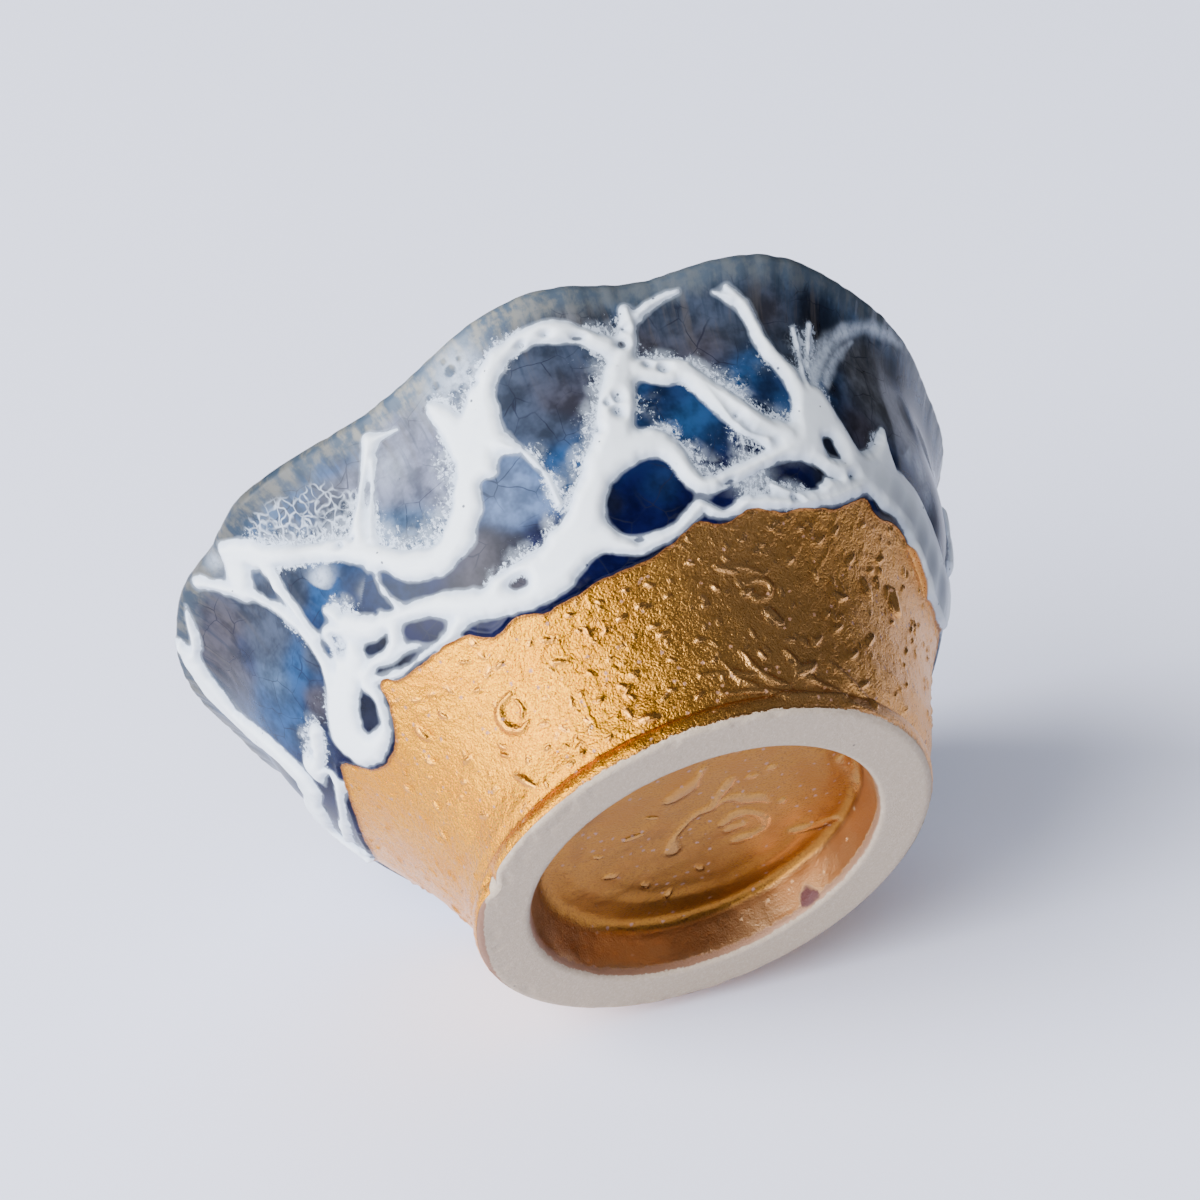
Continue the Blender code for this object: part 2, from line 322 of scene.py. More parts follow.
# White net, placed on the wall by pixels of the photograph: x, y and half-width of each point
WHITE_STROKES = {
    "left band": (
        (228, 549, 9), (248, 551, 14), (272, 556, 11), (300, 555, 9), (330, 551, 10), (360, 551, 12),
        (392, 563, 14), (420, 567, 16), (446, 558, 15), (462, 540, 13),
    ),
    "left knob": (
        (201, 582, 8), (214, 584, 4), (232, 588, 7), (256, 596, 5), (280, 607, 4), (300, 624, 5),
        (318, 646, 4), (331, 670, 6), (338, 700, 8), (345, 735, 12),
    ),
    "left fill": ((236, 560, 10), (242, 576, 12), (246, 590, 8)),
    "left strand": (
        (262, 560, 7), (274, 574, 5), (282, 590, 4.5), (296, 606, 4), (306, 622, 3), (318, 638, 3),
    ),
    "left edge finger": ((188, 605, 2), (192, 622, 4.5), (198, 640, 5), (196, 654, 7)),
    "left edge knob": (
        (182, 642, 3), (188, 652, 6), (200, 668, 7), (214, 688, 8), (232, 708, 8), (252, 728, 7),
        (276, 750, 9), (300, 772, 9), (314, 790, 7), (322, 815, 7), (345, 838, 5), (368, 850, 4),
    ),
    "tall twig": (
        (370, 441, 6.5), (369, 455, 6), (366, 472, 4), (363, 490, 3.2), (362, 508, 4.5), (360, 528, 7),
        (360, 545, 9),
    ),
    "tall twig side": ((372, 442, 5), (384, 436, 3.4), (398, 430, 1.4)),
    "pale strand": ((374, 462, 2.5), (374, 490, 3), (373, 515, 3.2), (374, 540, 4)),
    "mid mass tip": (
        (432, 408, 6), (446, 420, 8), (458, 436, 12), (472, 452, 17), (474, 478, 15), (468, 505, 15),
        (462, 530, 15), (452, 552, 12),
    ),
    "mid mass core": ((438, 412, 8), (454, 428, 14), (473, 446, 20), (480, 468, 18), (474, 492, 16)),
    "mid mass side": ((482, 432, 20), (496, 442, 15), (508, 448, 7), (514, 450, 5)),
    "mid to arc": (
        (486, 400, 11), (488, 384, 9), (494, 366, 9), (506, 352, 9), (520, 343, 9), (534, 334, 11),
        (552, 332, 12), (572, 333, 9), (592, 342, 8), (606, 348, 10),
    ),
    "arc shoulder": ((496, 358, 8), (488, 380, 13), (482, 405, 17), (480, 425, 20)),
    "slim strand": (
        (512, 440, 4), (524, 451, 3.6), (536, 463, 3.4), (546, 474, 3.2), (553, 489, 2.8), (559, 504, 5),
    ),
    "middle column": (
        (624, 311, 6.5), (627, 324, 8), (626, 345, 10), (620, 365, 14), (618, 390, 17), (616, 415, 19),
        (614, 440, 20), (606, 462, 18),
    ),
    "column to band": (
        (598, 468, 16), (590, 495, 15), (584, 525, 20), (570, 548, 24), (548, 572, 26), (515, 590, 22),
        (490, 600, 18), (470, 606, 14), (452, 603, 14), (425, 608, 10), (400, 616, 8), (372, 622, 9),
        (352, 628, 8), (330, 632, 8),
    ),
    "column twig": ((636, 316, 6), (648, 306, 5.5), (662, 298, 5), (677, 292, 3)),
    "right of column": (
        (636, 372, 10), (656, 374, 13), (680, 371, 12), (696, 382, 10), (712, 400, 8), (728, 420, 6),
        (744, 434, 4), (764, 442, 8),
    ),
    "haze band": ((700, 385, 7), (722, 398, 8), (742, 412, 8), (762, 426, 9), (786, 436, 10)),
    "navy arc": (
        (612, 455, 16), (636, 446, 15), (656, 442, 13), (674, 454, 10), (684, 470, 9.5), (696, 483, 9),
        (708, 486, 9), (726, 480, 8), (748, 468, 8), (770, 457, 9), (792, 447, 13), (808, 440, 16),
    ),
    "navy foot": (
        (590, 540, 15), (606, 538, 14), (622, 545, 9), (640, 548, 6.5), (660, 540, 5.5), (678, 530, 5.5),
        (692, 514, 7), (702, 504, 6), (716, 513, 6.5), (730, 512, 5.5), (744, 503, 6), (760, 501, 7),
        (780, 504, 7), (800, 502, 6), (822, 500, 7), (846, 492, 9), (862, 484, 11),
    ),
    "navy wisp": ((621, 512, 1.2), (624, 524, 2.6), (633, 533, 3), (650, 534, 2), (664, 530, 1.6)),
    "right twig": (
        (725, 287, 3.5), (733, 296, 6), (743, 308, 6.6), (751, 323, 6), (758, 338, 6.4), (768, 354, 7),
        (780, 366, 8), (791, 380, 8.5), (800, 396, 9), (806, 414, 15), (810, 432, 18),
    ),
    "right twig side": ((712, 292.5, 1.6), (722, 295, 2.6), (730, 298, 4)),
    "right column": (
        (812, 402, 12), (822, 420, 13), (838, 438, 10), (850, 456, 13), (862, 470, 17), (882, 484, 19),
        (900, 506, 19), (914, 532, 17), (926, 560, 15), (936, 590, 12), (944, 620, 8),
    ),
    "right spikes": ((880, 428, 2), (879, 444, 6), (880, 462, 12)),
    "right low mass": ((842, 478, 10), (828, 488, 7), (812, 496, 6)),
    "pool strands": ((812, 455, 9), (830, 470, 9), (846, 470, 10)),
    "pool strands two": ((770, 486, 3), (784, 492, 4), (800, 498, 4)),
    "streak two": ((792, 330, 0.6), (797, 352, 1.0), (801, 372, 1.6), (805, 390, 3)),
    "streak three": ((808, 326, 0.6), (806, 346, 1.0), (807, 368, 1.6)),
    "low node": (
        (340, 640, 10), (352, 655, 15), (350, 680, 15), (345, 705, 14), (350, 735, 14), (364, 748, 15),
        (378, 746, 14), (388, 732, 7), (386, 712, 5), (378, 694, 5), (368, 684, 7),
    ),
    "low node top": (
        (330, 610, 5), (345, 622, 9), (368, 632, 12), (392, 622, 9), (398, 640, 7), (392, 655, 7),
        (376, 664, 6), (366, 676, 10),
    ),
    "low crescent": (
        (376, 680, 3), (398, 675, 3), (414, 664, 2.4), (432, 650, 2.4), (450, 640, 5), (462, 622, 9),
    ),
    "low crescent two": ((392, 660, 3), (408, 648, 4), (424, 642, 2), (440, 640, 3)),
    "drip skirt": (
        (318, 730, 6), (318, 752, 9), (316, 772, 9), (340, 778, 5), (344, 800, 4), (346, 822, 5),
        (352, 838, 4),
    ),
    "slim left of hole": ((372, 568, 2), (378, 582, 2.2), (388, 594, 2.2), (398, 606, 4)),
}

# Openings of the net where the blue glaze shows, as outlines in pixels
CELLS = {
    "sliver": ((257, 568), (263, 568), (267, 580), (278, 600), (270, 598), (262, 590), (258, 580)),
    "slate pool": (
        (284, 577), (290, 571), (299, 571), (307, 579), (318, 588), (330, 591), (336, 585), (339, 576),
        (344, 581), (344, 593), (338, 599), (333, 606), (324, 608), (316, 603), (310, 598), (308, 609),
        (303, 608), (294, 598), (286, 586),
    ),
    "pale drop": (
        (369, 571), (375, 573), (381, 590), (383, 600), (377, 612), (368, 614), (362, 605), (365, 585),
    ),
    "blue wing": (
        (378, 572), (385, 570), (395, 576), (405, 583), (418, 588), (435, 586), (428, 592), (416, 597),
        (402, 598), (393, 596), (386, 588),
    ),
    "blue bead": ((381, 591), (385, 600), (392, 602), (397, 608), (393, 612), (384, 612), (381, 606)),
    "dark eye": (
        (405, 626), (411, 621), (420, 622), (432, 625), (442, 630), (441, 640), (430, 645), (418, 643),
        (408, 640),
    ),
    "small leaf": ((388, 632), (388, 641), (384, 649), (378, 652), (371, 653), (376, 646), (381, 638)),
    "crescent": (
        (376, 670), (378, 665), (388, 664), (400, 659), (410, 652), (426, 647), (424, 652), (410, 663),
        (399, 670), (388, 673), (377, 676),
    ),
    "crescent two": (
        (408, 674), (414, 669), (424, 662), (434, 652), (444, 646), (436, 653), (424, 664), (414, 672),
    ),
    "hole": (
        (359, 694), (371, 694), (376, 702), (381, 714), (380, 724), (374, 730), (368, 727), (364, 716),
        (361, 704),
    ),
    "speck pool": ((336, 637), (344, 637), (350, 644), (346, 656), (338, 654), (335, 646)),
    "low pool": ((302, 732), (308, 730), (313, 736), (311, 742), (303, 742)),
    "low sliver": ((311, 747), (314, 745), (314, 753), (312, 754)),
    "low leaf": (
        (330, 771), (335, 778), (338, 792), (336, 804), (336, 815), (330, 813), (322, 801), (326, 788),
        (327, 778),
    ),
    "edge sliver": (
        (347, 790), (351, 803), (359, 820), (368, 840), (361, 835), (353, 828), (349, 815), (347, 800),
    ),
    "grey streak": ((264, 745), (280, 757), (302, 779), (296, 776), (278, 762)),
    "lilac": (
        (483, 481), (495, 476), (505, 468), (512, 457), (518, 455), (528, 463), (540, 473), (549, 486),
        (554, 498), (555, 510), (553, 524), (547, 535), (545, 546), (538, 552), (528, 557), (515, 563),
        (503, 567), (492, 578), (486, 588), (476, 590), (466, 585), (452, 581), (446, 577), (455, 567),
        (466, 554), (478, 542), (485, 534), (487, 520), (484, 505), (482, 490),
    ),
    "grey oval": ((507, 588), (512, 580), (520, 575), (527, 576), (530, 584), (525, 589), (515, 592)),
    "arc sliver": ((569, 340), (576, 337.5), (584, 339.5), (577, 341.5)),
    "slate": (
        (496, 398), (497, 388), (501, 374), (510, 369), (522, 367), (531, 357), (541, 347), (550, 343),
        (562, 346), (578, 351), (592, 355), (602, 359), (600, 375), (594, 395), (588, 412), (585, 432),
        (583, 455), (583, 476), (577, 490), (566, 495), (558, 487), (550, 475), (541, 463), (530, 453),
        (519, 444), (512, 435), (508, 421), (501, 409),
    ),
    "navy": (
        (609, 500), (611, 490), (617, 482), (628, 476), (640, 471), (645, 463), (652, 459), (661, 461),
        (669, 471), (679, 483), (688, 490), (697, 495), (691, 503), (683, 512), (678, 522), (668, 530),
        (655, 534), (640, 536), (626, 538), (617, 532), (611, 518),
    ),
    "navy slit": ((630, 540), (638, 538.5), (645, 540), (637, 543)),
    "blue": (
        (637, 388), (645, 391), (655, 395), (662, 394), (668, 388), (675, 386), (684, 390), (690, 399),
        (700, 404), (708, 414), (716, 427), (724, 435), (731, 438), (742, 437), (752, 440), (760, 446),
        (766, 450), (755, 455), (742, 461), (728, 465), (714, 471), (704, 476), (699, 470), (695, 458),
        (688, 447), (678, 438), (668, 431), (658, 423), (648, 418), (638, 420),
    ),
    "shore": (
        (567, 601), (577, 591), (580, 577), (590, 568), (600, 563), (612, 556), (622, 554), (635, 557),
        (642, 555), (655, 549), (668, 541), (681, 534), (694, 523), (688, 535), (668, 552), (650, 564),
        (622, 575), (605, 584), (590, 592), (575, 602),
    ),
    "shore left": (
        (458, 634), (470, 626), (480, 625), (490, 629), (502, 630), (508, 626), (503, 638), (490, 643),
        (468, 641),
    ),
    "sea slit": ((700, 499), (708, 497), (720, 498), (738, 501), (730, 506), (722, 509), (712, 506)),
    "sea slit two": ((720, 487), (728, 482), (734, 480.5), (727, 485)),
    "sea pool": (
        (774, 484), (780, 476), (786, 470), (794, 468), (802, 474), (811, 481), (819, 488), (810, 491),
        (798, 492), (788, 488),
    ),
    "sea bits": ((750, 497), (757, 493), (763, 489), (768, 486), (766, 492), (758, 497)),
    "sea bits two": ((789, 497), (794, 496), (797, 501), (791, 501)),
    "leaf": ((820, 441), (823, 438), (829, 438), (834, 450), (841, 460), (833, 459), (825, 453)),
    "eel": ((809, 464), (816, 466), (823, 474), (833, 477), (838, 481), (828, 481), (818, 476), (812, 470)),
    "pin": ((846, 476), (849, 475), (850, 478), (847, 479)),
    "smoke": (
        (846, 350), (855, 340), (870, 340), (886, 346), (900, 357), (914, 375), (925, 396), (924, 410),
        (917, 421), (911, 436), (906, 450), (900, 458), (891, 446), (882, 428), (876, 430), (868, 442),
        (862, 453), (854, 450), (847, 436), (838, 420), (830, 406), (827, 394), (834, 380), (842, 366),
    ),
    "shore right": (
        (838, 507), (846, 501), (856, 497), (864, 494), (868, 500), (876, 509), (886, 514), (894, 522),
        (900, 530), (908, 545), (900, 545), (890, 530), (874, 522), (862, 503), (850, 508),
    ),
}

# Where the net frays into lace over the blue glaze: x, y, reach in pixels, strength
LACE = (
    (598, 380, 26, 1.0), (590, 420, 26, 1.0), (582, 460, 24, 1.0), (560, 490, 18, 0.8), (575, 368, 16, 0.7),
    (545, 448, 16, 0.6), (300, 528, 38, 1.0), (335, 522, 30, 1.0), (270, 520, 26, 0.9), (440, 470, 26, 1.5),
    (425, 520, 30, 1.3), (395, 535, 24, 1.1), (395, 505, 18, 0.7), (655, 408, 16, 0.9), (668, 430, 16, 0.9),
    (700, 455, 24, 1.0), (740, 450, 20, 0.9), (735, 380, 30, 1.0), (700, 372, 22, 0.8), (660, 358, 20, 0.7),
    (770, 412, 20, 0.7), (520, 552, 22, 0.8), (545, 520, 12, 0.8), (495, 572, 14, 0.6),
    (290, 650, 34, 0.45), (300, 700, 34, 0.6), (310, 740, 24, 0.8), (345, 600, 18, 0.8),
    (600, 325, 18, 0.7), (500, 345, 22, 0.6), (455, 380, 30, 0.9), (820, 365, 34, 0.9), (850, 400, 22, 0.6),
    (790, 492, 16, 0.8), (755, 490, 18, 0.8), (345, 648, 14, 0.9), (870, 440, 14, 0.5), (470, 345, 20, 0.5),
)

# Small bubbles that break the milky veil near the rim: x, y and radius in pixels
BUBBLES = (
    (451, 371, 6), (437, 386, 4), (444, 362, 3), (459, 359, 2.5), (464, 389, 5), (430, 398, 3),
    (420, 392, 2.5), (455, 398, 7), (426, 410, 3), (412, 405, 2.5), (407, 414, 3), (470, 372, 2.5),
    (475, 383, 2), (398, 420, 2.5), (441, 351, 2), (416, 419, 2), (621, 346, 3), (617, 401, 3),
    (618, 413, 3.5), (622, 330, 2), (646, 366, 2.5), (596, 431, 2), (607, 404, 1.8), (455, 480, 2),
    (342, 545, 2.5), (338, 537, 4), (354, 539, 2), (345, 610, 4), (349, 592, 2), (377, 612, 3),
    (307, 736, 5), (694, 366, 2.5), (663, 371, 2), (545, 336, 2), (521, 346, 2), (735, 417, 2),
    (741, 438, 2), (340, 645, 3), (336, 637, 2.5), (345, 652, 2.5),
)

# Honeycomb of fine white threads over the blue glaze: x, y, reach in pixels, strength
COMB = (
    (285, 522, 26, 1.0), (315, 520, 30, 1.0), (345, 528, 22, 1.0), (320, 498, 22, 0.75),
    (350, 505, 18, 0.75), (262, 528, 20, 0.8), (820, 370, 26, 0.55), (830, 350, 20, 0.5),
    (345, 640, 16, 0.6), (735, 390, 22, 0.5), (790, 345, 26, 0.35), (600, 330, 16, 0.5),
)

# Milky veils and bubbles in the upper glaze
VEILS = (
    (460, 375, 26, 0.70), (440, 400, 20, 0.45), (392, 470, 22, 0.22), (372, 500, 7, 0.50),
    (372, 530, 7, 0.45), (322, 578, 13, 0.70), (372, 592, 9, 0.65), (216, 560, 12, 0.45),
    (814, 392, 12, 0.70), (905, 452, 14, 0.40), (918, 470, 16, 0.45), (926, 500, 16, 0.50),
    (938, 560, 16, 0.45), (750, 478, 18, 0.55), (790, 440, 16, 0.50), (820, 420, 20, 0.50),
)

# Translucent arcs of milk: points in pixels with a half-width
SOFT_STROKES = {
    "right arc": (
        (812, 398, 7), (812, 382, 6), (816, 364, 6), (824, 348, 7), (836, 336, 7), (852, 329, 6),
        (868, 327, 5), (884, 334, 4), (898, 344, 2),
    ),
    "right inner arc": ((824, 384, 3), (828, 366, 3), (838, 352, 3), (850, 343, 1)),
}

# Where the white is thin and greyed by the glaze below, and on the right side where it carries painted shade
THIN_AND_SHADED_WHITE = (
    (858, 470, 24, 0.45), (876, 484, 26, 0.55), (890, 500, 28, 0.70), (902, 518, 30, 0.80),
    (914, 540, 30, 0.85), (924, 564, 30, 0.85), (934, 590, 30, 0.80), (930, 520, 34, 0.80),
    (300, 552, 20, 0.22), (760, 430, 14, 0.35), (730, 480, 14, 0.30), (500, 350, 14, 0.25),
    (215, 660, 16, 0.25), (300, 780, 16, 0.30), (700, 372, 10, 0.20), (890, 370, 34, 0.70),
    (905, 420, 34, 0.80),
)

# Named glaze tints, linear colour, and where each of them shows: x, y and reach in pixels
TINTS = {
    "navy": (0.0010, 0.0015, 0.015),
    "cobalt": (0.0042, 0.0105, 0.034),
    "sea": (0.0065, 0.026, 0.072),
    "slate": (0.0190, 0.0245, 0.0385),
    "smoke": (0.0230, 0.0210, 0.0270),
    # Lilac and grey lilac: pale glaze, lightened by a painted sheen
    "lilac": (0.052, 0.080, 0.150),
    "grey lilac": (0.085, 0.092, 0.130),
    "ink": (0.0040, 0.0050, 0.0105),
    "haze blue": (0.024, 0.043, 0.078),
    "ash": (0.0600, 0.0620, 0.0700),
}
TINT_SPOTS = {
    "slate": (
        (545, 370, 30), (520, 410, 26), (545, 435, 20), (660, 330, 28), (715, 320, 30), (790, 340, 30),
        (335, 505, 20), (340, 525, 14), (270, 640, 26), (250, 600, 20), (315, 660, 12), (310, 735, 14),
        (295, 590, 16), (605, 320, 12), (500, 320, 14), (700, 290, 20), (745, 285, 24),
    ),
    "smoke": (
        (560, 395, 26), (650, 345, 20), (700, 350, 24), (765, 315, 20), (860, 430, 20), (490, 555, 20),
        (475, 580, 16), (315, 500, 14), (230, 625, 30), (225, 655, 30), (320, 700, 12), (520, 585, 10),
        (885, 515, 10),
    ),
    "sea": (
        (568, 470, 22), (690, 425, 20), (745, 370, 20), (785, 405, 14), (300, 505, 20), (330, 468, 14),
        (285, 710, 24), (300, 670, 18), (325, 600, 14),
    ),
    "navy": (
        (640, 500, 26), (680, 505, 18), (705, 460, 18), (750, 447, 18), (545, 525, 11), (538, 542, 10),
        (425, 632, 16), (330, 795, 18), (355, 820, 16), (480, 632, 14), (590, 578, 18), (640, 560, 18),
        (670, 540, 14), (720, 502, 14), (790, 480, 16),
    ),
    "cobalt": (
        (660, 490, 16), (665, 405, 18), (715, 440, 14), (770, 395, 24), (245, 650, 14), (400, 590, 14),
        (390, 607, 10),
    ),
    "ink": (
        (615, 505, 10), (815, 330, 26), (832, 390, 8), (515, 552, 12), (380, 643, 12), (400, 665, 18),
        (370, 710, 16), (830, 450, 10), (822, 474, 10), (760, 490, 8),
    ),
    "ash": ((870, 390, 36), (900, 420, 24), (565, 312, 16), (216, 560, 14), (910, 510, 16), (280, 760, 18)),
    # Lilac and grey lilac spots: pale glaze with a painted sheen in it
    "lilac": ((515, 490, 26), (535, 495, 18)),
    "grey lilac": ((410, 450, 30), (395, 480, 24), (430, 480, 26), (340, 485, 16)),
    "haze blue": (
        (400, 525, 24), (425, 535, 18), (265, 500, 26), (290, 480, 22), (240, 520, 18), (275, 680, 20),
        (188, 620, 12),
    ),
}

# Upper edge of the gold lustre in pixels, left to right
GOLD_EDGE = (
    (366, 841), (359, 820), (352, 803), (347, 787), (343, 773), (341, 764.5), (350, 763), (361, 767),
    (376, 769.5), (387, 763), (395, 752), (397, 741), (395, 724), (391, 708), (386, 696), (381, 688),
    (381, 682), (386, 678), (397, 680), (407, 677), (419, 667), (432, 655), (444, 646), (457, 639),
    (468, 635), (480, 637), (492, 638), (503, 632), (511, 621), (519, 616), (534, 615), (548, 612.5),
    (558, 606), (575, 598), (592, 586), (608, 577), (621, 570.5), (636, 566), (648, 560), (660, 552),
    (671, 544), (685, 533), (697, 521), (706, 521.5), (718, 525), (730, 522.5), (738, 516), (745, 510),
    (754, 508), (766, 509), (775, 511), (783, 513), (794, 509), (806, 508), (815, 509), (824, 507),
    (832, 510), (841, 508), (851, 503), (862, 497), (868, 502), (872, 512), (881, 521), (893, 524),
    (901, 534), (908, 547), (915, 562), (921, 578), (926, 600),
)

# Larger gold drops in pixels: x, y, half length, half width, turn in degrees
BIG_DROPS = (
    (423, 734, 11, 5, -30), (444, 715, 8, 3.5, -20), (526, 781, 13, 6, -20), (571, 764, 7, 3, 40),
    (583, 753, 5, 3, 70), (650, 718, 14, 6, 25), (774, 617, 14, 8, -25), (806, 669, 14, 9, 50),
    (867, 590, 4, 14, 8), (895, 602, 4.5, 24, -8), (728, 570, 14, 3.5, -5), (748, 592, 8, 5, 50),
    (705, 605, 6, 4.5, 60), (716, 588, 5, 4, 0), (690, 563, 5, 4, 40), (655, 626, 7, 4, 35),
    (664, 634, 8, 4, 35), (640, 606, 6, 4, 60), (622, 618, 8, 4, 50), (606, 630, 5, 3.5, 80),
    (588, 632, 9, 3.5, -50), (545, 640, 7, 3.5, 35), (560, 662, 12, 4, 15), (500, 665, 8, 4, 60),
    (465, 662, 7, 3, 20), (478, 690, 6, 3, 40), (450, 690, 6, 3, -30), (416, 700, 6, 3.5, 20),
    (430, 762, 6, 3, -20), (468, 760, 7, 3.5, 60), (505, 755, 5, 3.5, 10), (548, 748, 6, 3.5, 70),
    (610, 738, 6, 3.5, 60), (600, 700, 6, 3, 50), (628, 690, 9, 3, 70), (672, 690, 6, 3.5, 30),
    (700, 695, 8, 3, 55), (735, 672, 7, 5, 40), (762, 655, 7, 4, -30), (790, 640, 8, 4, 30),
    (818, 640, 8, 4, 65), (838, 628, 7, 4, 50), (853, 655, 8, 4, 60), (864, 685, 8, 3.5, 40),
    (842, 598, 7, 5, 30), (815, 575, 7, 3.5, -50), (790, 560, 6, 4, 60), (760, 545, 7, 3.5, 20),
    (820, 540, 8, 3, 60), (850, 560, 9, 3.5, 65), (835, 530, 7, 3, 70), (800, 528, 6, 3, 20),
    (770, 528, 5, 3, 0), (740, 540, 6, 3, 40), (870, 640, 9, 4, 75), (880, 560, 6, 3, 60),
    (862, 525, 4, 3, 60), (700, 640, 7, 3.5, 30), (715, 660, 6, 3, 70), (672, 660, 5, 3, 20),
    (650, 585, 6, 4, 20), (668, 596, 5, 3.5, 60), (626, 590, 5, 3.5, 40), (600, 602, 6, 3.5, 30),
    (570, 615, 6, 3.5, 40),
)

# Folds of the gold: points in pixels with a half-width
FOLDS = {
    "hook": ((511, 694, 3), (500, 704, 4), (499, 718, 5), (507, 729, 5), (521, 731, 4), (528, 722, 2)),
    "hook inside": ((516, 700, 2), (524, 708, 3), (522, 717, 2.5)),
    "long fold": ((722, 694, 2), (760, 690, 3), (800, 695, 3.5), (845, 696, 2.5)),
    "fan one": ((742, 652, 2), (754, 668, 4), (772, 680, 4), (790, 686, 2.5)),
    "fan two": ((722, 662, 2), (736, 678, 3), (756, 686, 2.5)),
    "fan three": ((786, 652, 2.5), (800, 668, 4), (818, 684, 4.5), (838, 692, 3)),
    "fan four": ((828, 662, 2), (846, 676, 3), (862, 696, 3), (876, 706, 2)),
    "cross fold": ((700, 676, 2), (724, 672, 2.5), (748, 676, 2.5), (770, 668, 2)),
    "low fold": ((850, 704, 2), (872, 712, 3), (892, 722, 2)),
    "top fold": ((716, 566, 2.5), (740, 566, 3), (762, 574, 2.5)),
    "ring fold": ((744, 584, 2), (758, 578, 3), (772, 584, 3), (770, 596, 2.5), (756, 600, 2)),
}

# Wrinkles on the recess floor: points in pixels with a half-width
RECESS_FOLDS = {
    "tear": ((667, 801, 3), (676, 795, 6), (688, 788, 6), (697, 779, 3), (703, 769, 1.5)),
    "curl": ((702, 812, 2), (712, 808, 3), (718, 798, 3.5), (724, 790, 4.5), (730, 780, 3)),
    "stem": ((672, 850, 6), (673, 838, 3), (682, 827, 2.5), (694, 815, 2.5), (706, 808, 2)),
    "arc": ((720, 802, 3), (732, 797, 4), (746, 799, 3.5), (758, 797, 4), (767, 801, 2)),
    "loop": (
        (722, 824, 3), (734, 814, 4), (750, 811, 3.5), (764, 816, 4), (766, 826, 3), (754, 834, 3.5),
        (738, 838, 4),
    ),
    "loop middle": ((730, 828, 5), (742, 824, 4)),
    "bar": ((792, 831, 3), (806, 827, 4), (822, 823, 5), (836, 816, 3)),
    "side": ((842, 757, 3), (850, 768, 4), (860, 786, 3)),
    "thread": ((690, 760, 1.5), (712, 752, 2), (738, 750, 1.5)),
}

# Small drops on the recess floor in pixels: x, y, half length, half width, turn in degrees
RECESS_DROPS = (
    (633, 837, 5, 4, 60), (645, 885, 5, 4, 20), (611, 876, 9, 3, 15), (668, 894, 3.5, 3, 0),
    (772, 767, 7, 3, 20), (751, 776, 6, 3, 30), (652, 818, 4, 3, 40), (597, 857, 4, 2.5, 30),
    (700, 868, 4, 2.5, 30), (782, 800, 4, 3, 10),
)

# Tints of the glaze from the rim down, and how far down each lies as a share
GRADE = ("ash", "haze blue", "slate", "sea", "cobalt", "navy")
WALL_GRADE = (0.0, 0.16, 0.32, 0.52, 0.72, 1.0)
BOWL_GRADE = (0.0, 0.10, 0.25, 0.45, 0.7, 1.0)
GRADE_LENGTH = 24.0
SPOT_FLOOR = 0.06

# Spread of the folds on the recess floor, and the radius of the round coordinates for streaks
RECESS_FOLD_SPREAD = 1.6
LAY_RADIUS = 37.0
# Greater than any distance on the cup in millimetres, and how far the net's strokes and openings reach
FAR = 1e3
NET_REACH = 6.0
MM = 0.001

# Relief in millimetres
WHITE_HEIGHT = 0.58
WHITE_SLOPE = 1.15
GLAZE_HEIGHT = 0.20
EDGE_BEAD = 0.10
RIM_WAVES = 0.085
GOLD_FOLD_HEIGHT = 0.30
RECESS_FOLD_HEIGHT = 0.20
RECESS_DROP_HEIGHT = 0.18

# How far strokes that meet flow together, and how softly an opening ends, in millimetres
STROKE_FLOW = 0.9
OPENING_FLOW = 0.25

SEED = 7
rng = np.random.default_rng(SEED)
TABLE_SIZE = 24
LATTICE = rng.uniform(-1.0, 1.0, (TABLE_SIZE, TABLE_SIZE, TABLE_SIZE))
LAYER_STEP = np.array([3.7, 9.1, 5.3])


def cloud(points, size, layer=0):
    """Smooth noise from -1 to 1 with features of a given size in millimetres."""
    p = points / size + LAYER_STEP * (layer + 1)
    i = np.floor(p).astype(int)
    f = p - i
    f = f * f * f * (f * (f * 6 - 15) + 10)
    a = i % TABLE_SIZE
    b = (i + 1) % TABLE_SIZE
    ends = [((a[..., k], 1 - f[..., k]), (b[..., k], f[..., k])) for k in range(3)]
    total = 0.0
    for cx, wx in ends[0]:
        for cy, wy in ends[1]:
            for cz, wz in ends[2]:
                total = total + LATTICE[cx, cy, cz] * wx * wy * wz
    return total


def smin(a, b, k):
    """Soft minimum that fills the corner between two outlines."""
    h = np.maximum(k - np.abs(a - b), 0.0) / k
    return np.minimum(a, b) - h * h * k * 0.25


def bell(x):
    """Round bump of height 1 at 0."""
    return np.exp(-(x ** 2))


def segment_distance(ax, ay, bx, by, start=0.0, end=0.0):
    """Distance of the origin from a segment whose half-width runs from start to end."""
    dx, dy = bx - ax, by - ay
    t = np.clip(-(ax * dx + ay * dy) / (dx * dx + dy * dy + 1e-9), 0.0, 1.0)
    return np.hypot(ax + t * dx, ay + t * dy) - (start + t * (end - start))


def crossing(p, q, a, b):
    """Which segments cross the line p = 0, and the place from a to b where they do."""
    span = np.where(np.abs(q - p) < 1e-9, 1e-9, q - p)
    return (p > 0) != (q > 0), a - p / span * (b - a)


def stroke_distance(deg, s, line_deg, line_s, width):
    """Distance in mm from a tapering stroke on the wall, negative inside it."""
    r = radius_at(s)
    best = np.full(deg.shape, FAR)
    for k in range(len(line_deg) - 1):
        ax = np.radians(near_turn(line_deg[k], deg)) * r
        bx = np.radians(near_turn(line_deg[k + 1], deg)) * r
        d = segment_distance(ax, line_s[k] - s, bx, line_s[k + 1] - s, width[k], width[k + 1])
        best = np.minimum(best, d)
    return best


